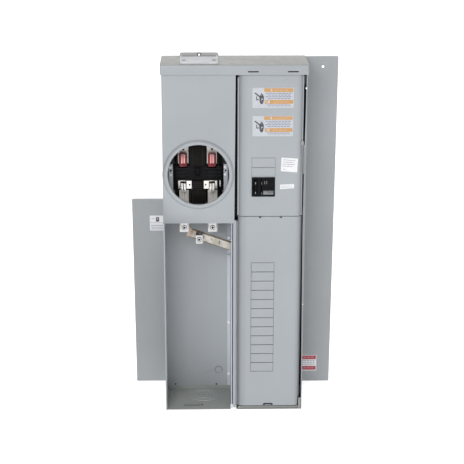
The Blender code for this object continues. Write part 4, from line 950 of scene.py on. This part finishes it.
def knockout_rings():
    """Raised rims of the concentric knockouts in the floor and of the one in the back wall, paler as
    painted highlight; the back one also has a ring darkened as painted shade.
    """
    bm = bmesh.new()
    for x, depth in ((-80.0, 92.6), (92.0, 78.0)):
        for radius in (38.0, 29.2, 20.2, 10.4):
            rim = [(radius - 1.1, 1.2), (radius - 0.7, 2.7), (radius + 0.3, 2.7), (radius + 0.7, 1.2)]
            add_ring(bm, (x, at(depth), 0.0), rim, 64, upright=True)
    back = span("back_box")[1][1]
    for outer, inner, proud, material in ((10.9, 9.3, 0.5, 1), (8.8, 7.9, 0.7, 0)):
        rim = [(inner, 0.0), (inner + 0.3, -proud), (outer - 0.3, -proud), (outer, 0.0)]
        add_ring(bm, (-39.0, back - 1.6, 56.0), rim, 48, material)
    add_disc(bm, (-34.4, back - 1.6, 47.6), 1.9, -0.9, 0.1, 0.4, 20, 0)
    new_piece("knockout_rings", bm, ("paint_rim_highlight", "paint_groove_shade"), "box")


# ---- small trim ----
def trim():
    """Rivets and step of the right lip, rims of the hub plate, eyelet and weld dimples of the hanger."""
    bm = bmesh.new()
    for x, z, radius in ((178.6, 871.5, 2.3), (180.0, 300.0, 1.2)):
        add_disc(bm, (x, at(0.2), z), radius, -1.3, 0.4, 0.5, 20)
    new_piece("lip_rivets", bm, ("zinc_light",), "box")
    bm = bmesh.new()
    add_box(bm, (174.3, BOX_RIGHT - 1.0), depths(0.2, 3.0), (702.0, 727.4), 0.5)
    new_piece("lip_step", bm, ("paint_inside",), "box")
    bm = bmesh.new()
    (left, right), (front, back), (_, top) = span("hub_plate")
    rim_z = (top - 1.4, top - 0.1)
    # the rims take the paler zinc: painted highlight
    add_box(bm, (left + 1.5, right - 1.5), (front + 0.2, front + 2.8), rim_z, 0.5)
    for x in ((left + 0.6, left + 2.8), (right - 2.8, right - 0.6)):
        add_box(bm, x, (front + 3, back - 3), rim_z, 0.5)
    new_piece("hub_plate_rims", bm, ("zinc_rim_highlight",), "box")
    bm = bmesh.new()
    tab = span("hanger_bracket")[1][0]
    add_ring(bm, (-87.9, tab, 933.0), [(2.6, 0.4), (2.6, -0.4), (5.2, -0.4), (5.6, 0.4)], 40)
    new_piece("hanger_eyelet", bm, ("socket_dark",), "box")
    bm = bmesh.new()
    back = span("hanger_bracket")[1][1]
    for x in (-120.0, -56.0):
        for z in (888.0, 904.0):
            add_disc(bm, (x, back, z), 3.2, -0.2, 0.25, 0.2, 24)
            add_disc(bm, (x, back, z), 1.5, -0.2, 0.4, 0.15, 20)
    new_piece("hanger_weld_dimples", bm, ("paint_cap",), "box")


dress_sheet_metal()
dress_conductors()
socket_moulding()
upper_jaws()
lower_jaws()
set_screws()
terminal_screws()
strap_details()
feed_bar_bolts()
main_breaker_case()
handle_details()
labels()
cut_lines()
hemmed_edge()
dark_recesses()
knockout_rings()
trim()


# ---- studio ----
def make_floor():
    """A pale sweep: floor that curves up behind the object."""
    bm = bmesh.new()
    width, near, far, rise, radius = 9.0, -6.0, 3.2, 4.5, 1.4
    outline = [(near, 0.0)]
    steps = 16
    for step in range(steps + 1):
        angle = math.radians(90 * step / steps)
        outline.append((far - radius + radius * math.sin(angle), radius - radius * math.cos(angle)))
    outline.append((far, rise))
    rows = [[bm.verts.new((side * width, y, z)) for y, z in outline] for side in (-1, 1)]
    for i in range(len(outline) - 1):
        bm.faces.new((rows[0][i], rows[1][i], rows[1][i + 1], rows[0][i + 1]))
    mesh = bpy.data.meshes.new("studio_sweep")
    bm.to_mesh(mesh)
    bm.free()
    mesh.shade_smooth()
    mesh.materials.append(backdrop("studio_white", (0.90, 0.90, 0.90), 0.62))
    sweep = bpy.data.objects.new("studio_sweep", mesh)
    bpy.context.scene.collection.objects.link(sweep)
    sweep.location.z = -0.0005


def area_light(name, place, target, size, power):
    data = bpy.data.lights.new(name, "AREA")
    data.shape = "RECTANGLE"
    data.size, data.size_y = size
    data.energy = power
    light = bpy.data.objects.new(name, data)
    light.location = place
    light.rotation_euler = (Vector(target) - Vector(place)).to_track_quat("-Z", "Y").to_euler()
    bpy.context.scene.collection.objects.link(light)


WORLD_STRENGTH = 0.21
LIGHTS = {      # place, target, size, power
    "key_light": ((-0.9, -3.2, 2.3), (0, 0, 0.5), (1.6, 1.6), 83),
    "fill_light": ((2.2, -2.6, 1.4), (0, 0, 0.4), (1.8, 1.8), 26),
    "top_light": ((0.0, 0.2, 3.2), (0, 0, 0.5), (2.4, 2.4), 35),
}


def make_light():
    world = bpy.data.worlds.new("studio")
    world.use_nodes = True
    world.node_tree.nodes["Background"].inputs["Color"].default_value = (1.0, 1.0, 1.0, 1.0)
    world.node_tree.nodes["Background"].inputs["Strength"].default_value = WORLD_STRENGTH
    bpy.context.scene.world = world
    bpy.context.scene.view_settings.view_transform = "Standard"
    for name, (place, target, size, power) in LIGHTS.items():
        area_light(name, place, target, size, power)


CAMERA_PLACE = (-0.0716, -3.1453, 1.4450)
CAMERA_PITCH, CAMERA_YAW, CAMERA_ROLL = 0.2985, 0.0215, 0.0015      # radians: down, right, tilt
CAMERA_LENS = 97.2


def make_camera():
    data = bpy.data.cameras.new("camera")
    data.sensor_width = 36.0
    data.lens = CAMERA_LENS
    camera = bpy.data.objects.new("camera", data)
    level = math.cos(CAMERA_PITCH)
    forward = Vector((math.sin(CAMERA_YAW) * level, math.cos(CAMERA_YAW) * level, -math.sin(CAMERA_PITCH)))
    camera.location = CAMERA_PLACE
    camera.rotation_euler = (forward.to_track_quat("-Z", "Y").to_matrix()
                             @ Matrix.Rotation(CAMERA_ROLL, 3, "Z")).to_euler()
    bpy.context.scene.collection.objects.link(camera)
    bpy.context.scene.camera = camera


make_floor()
make_light()
make_camera()
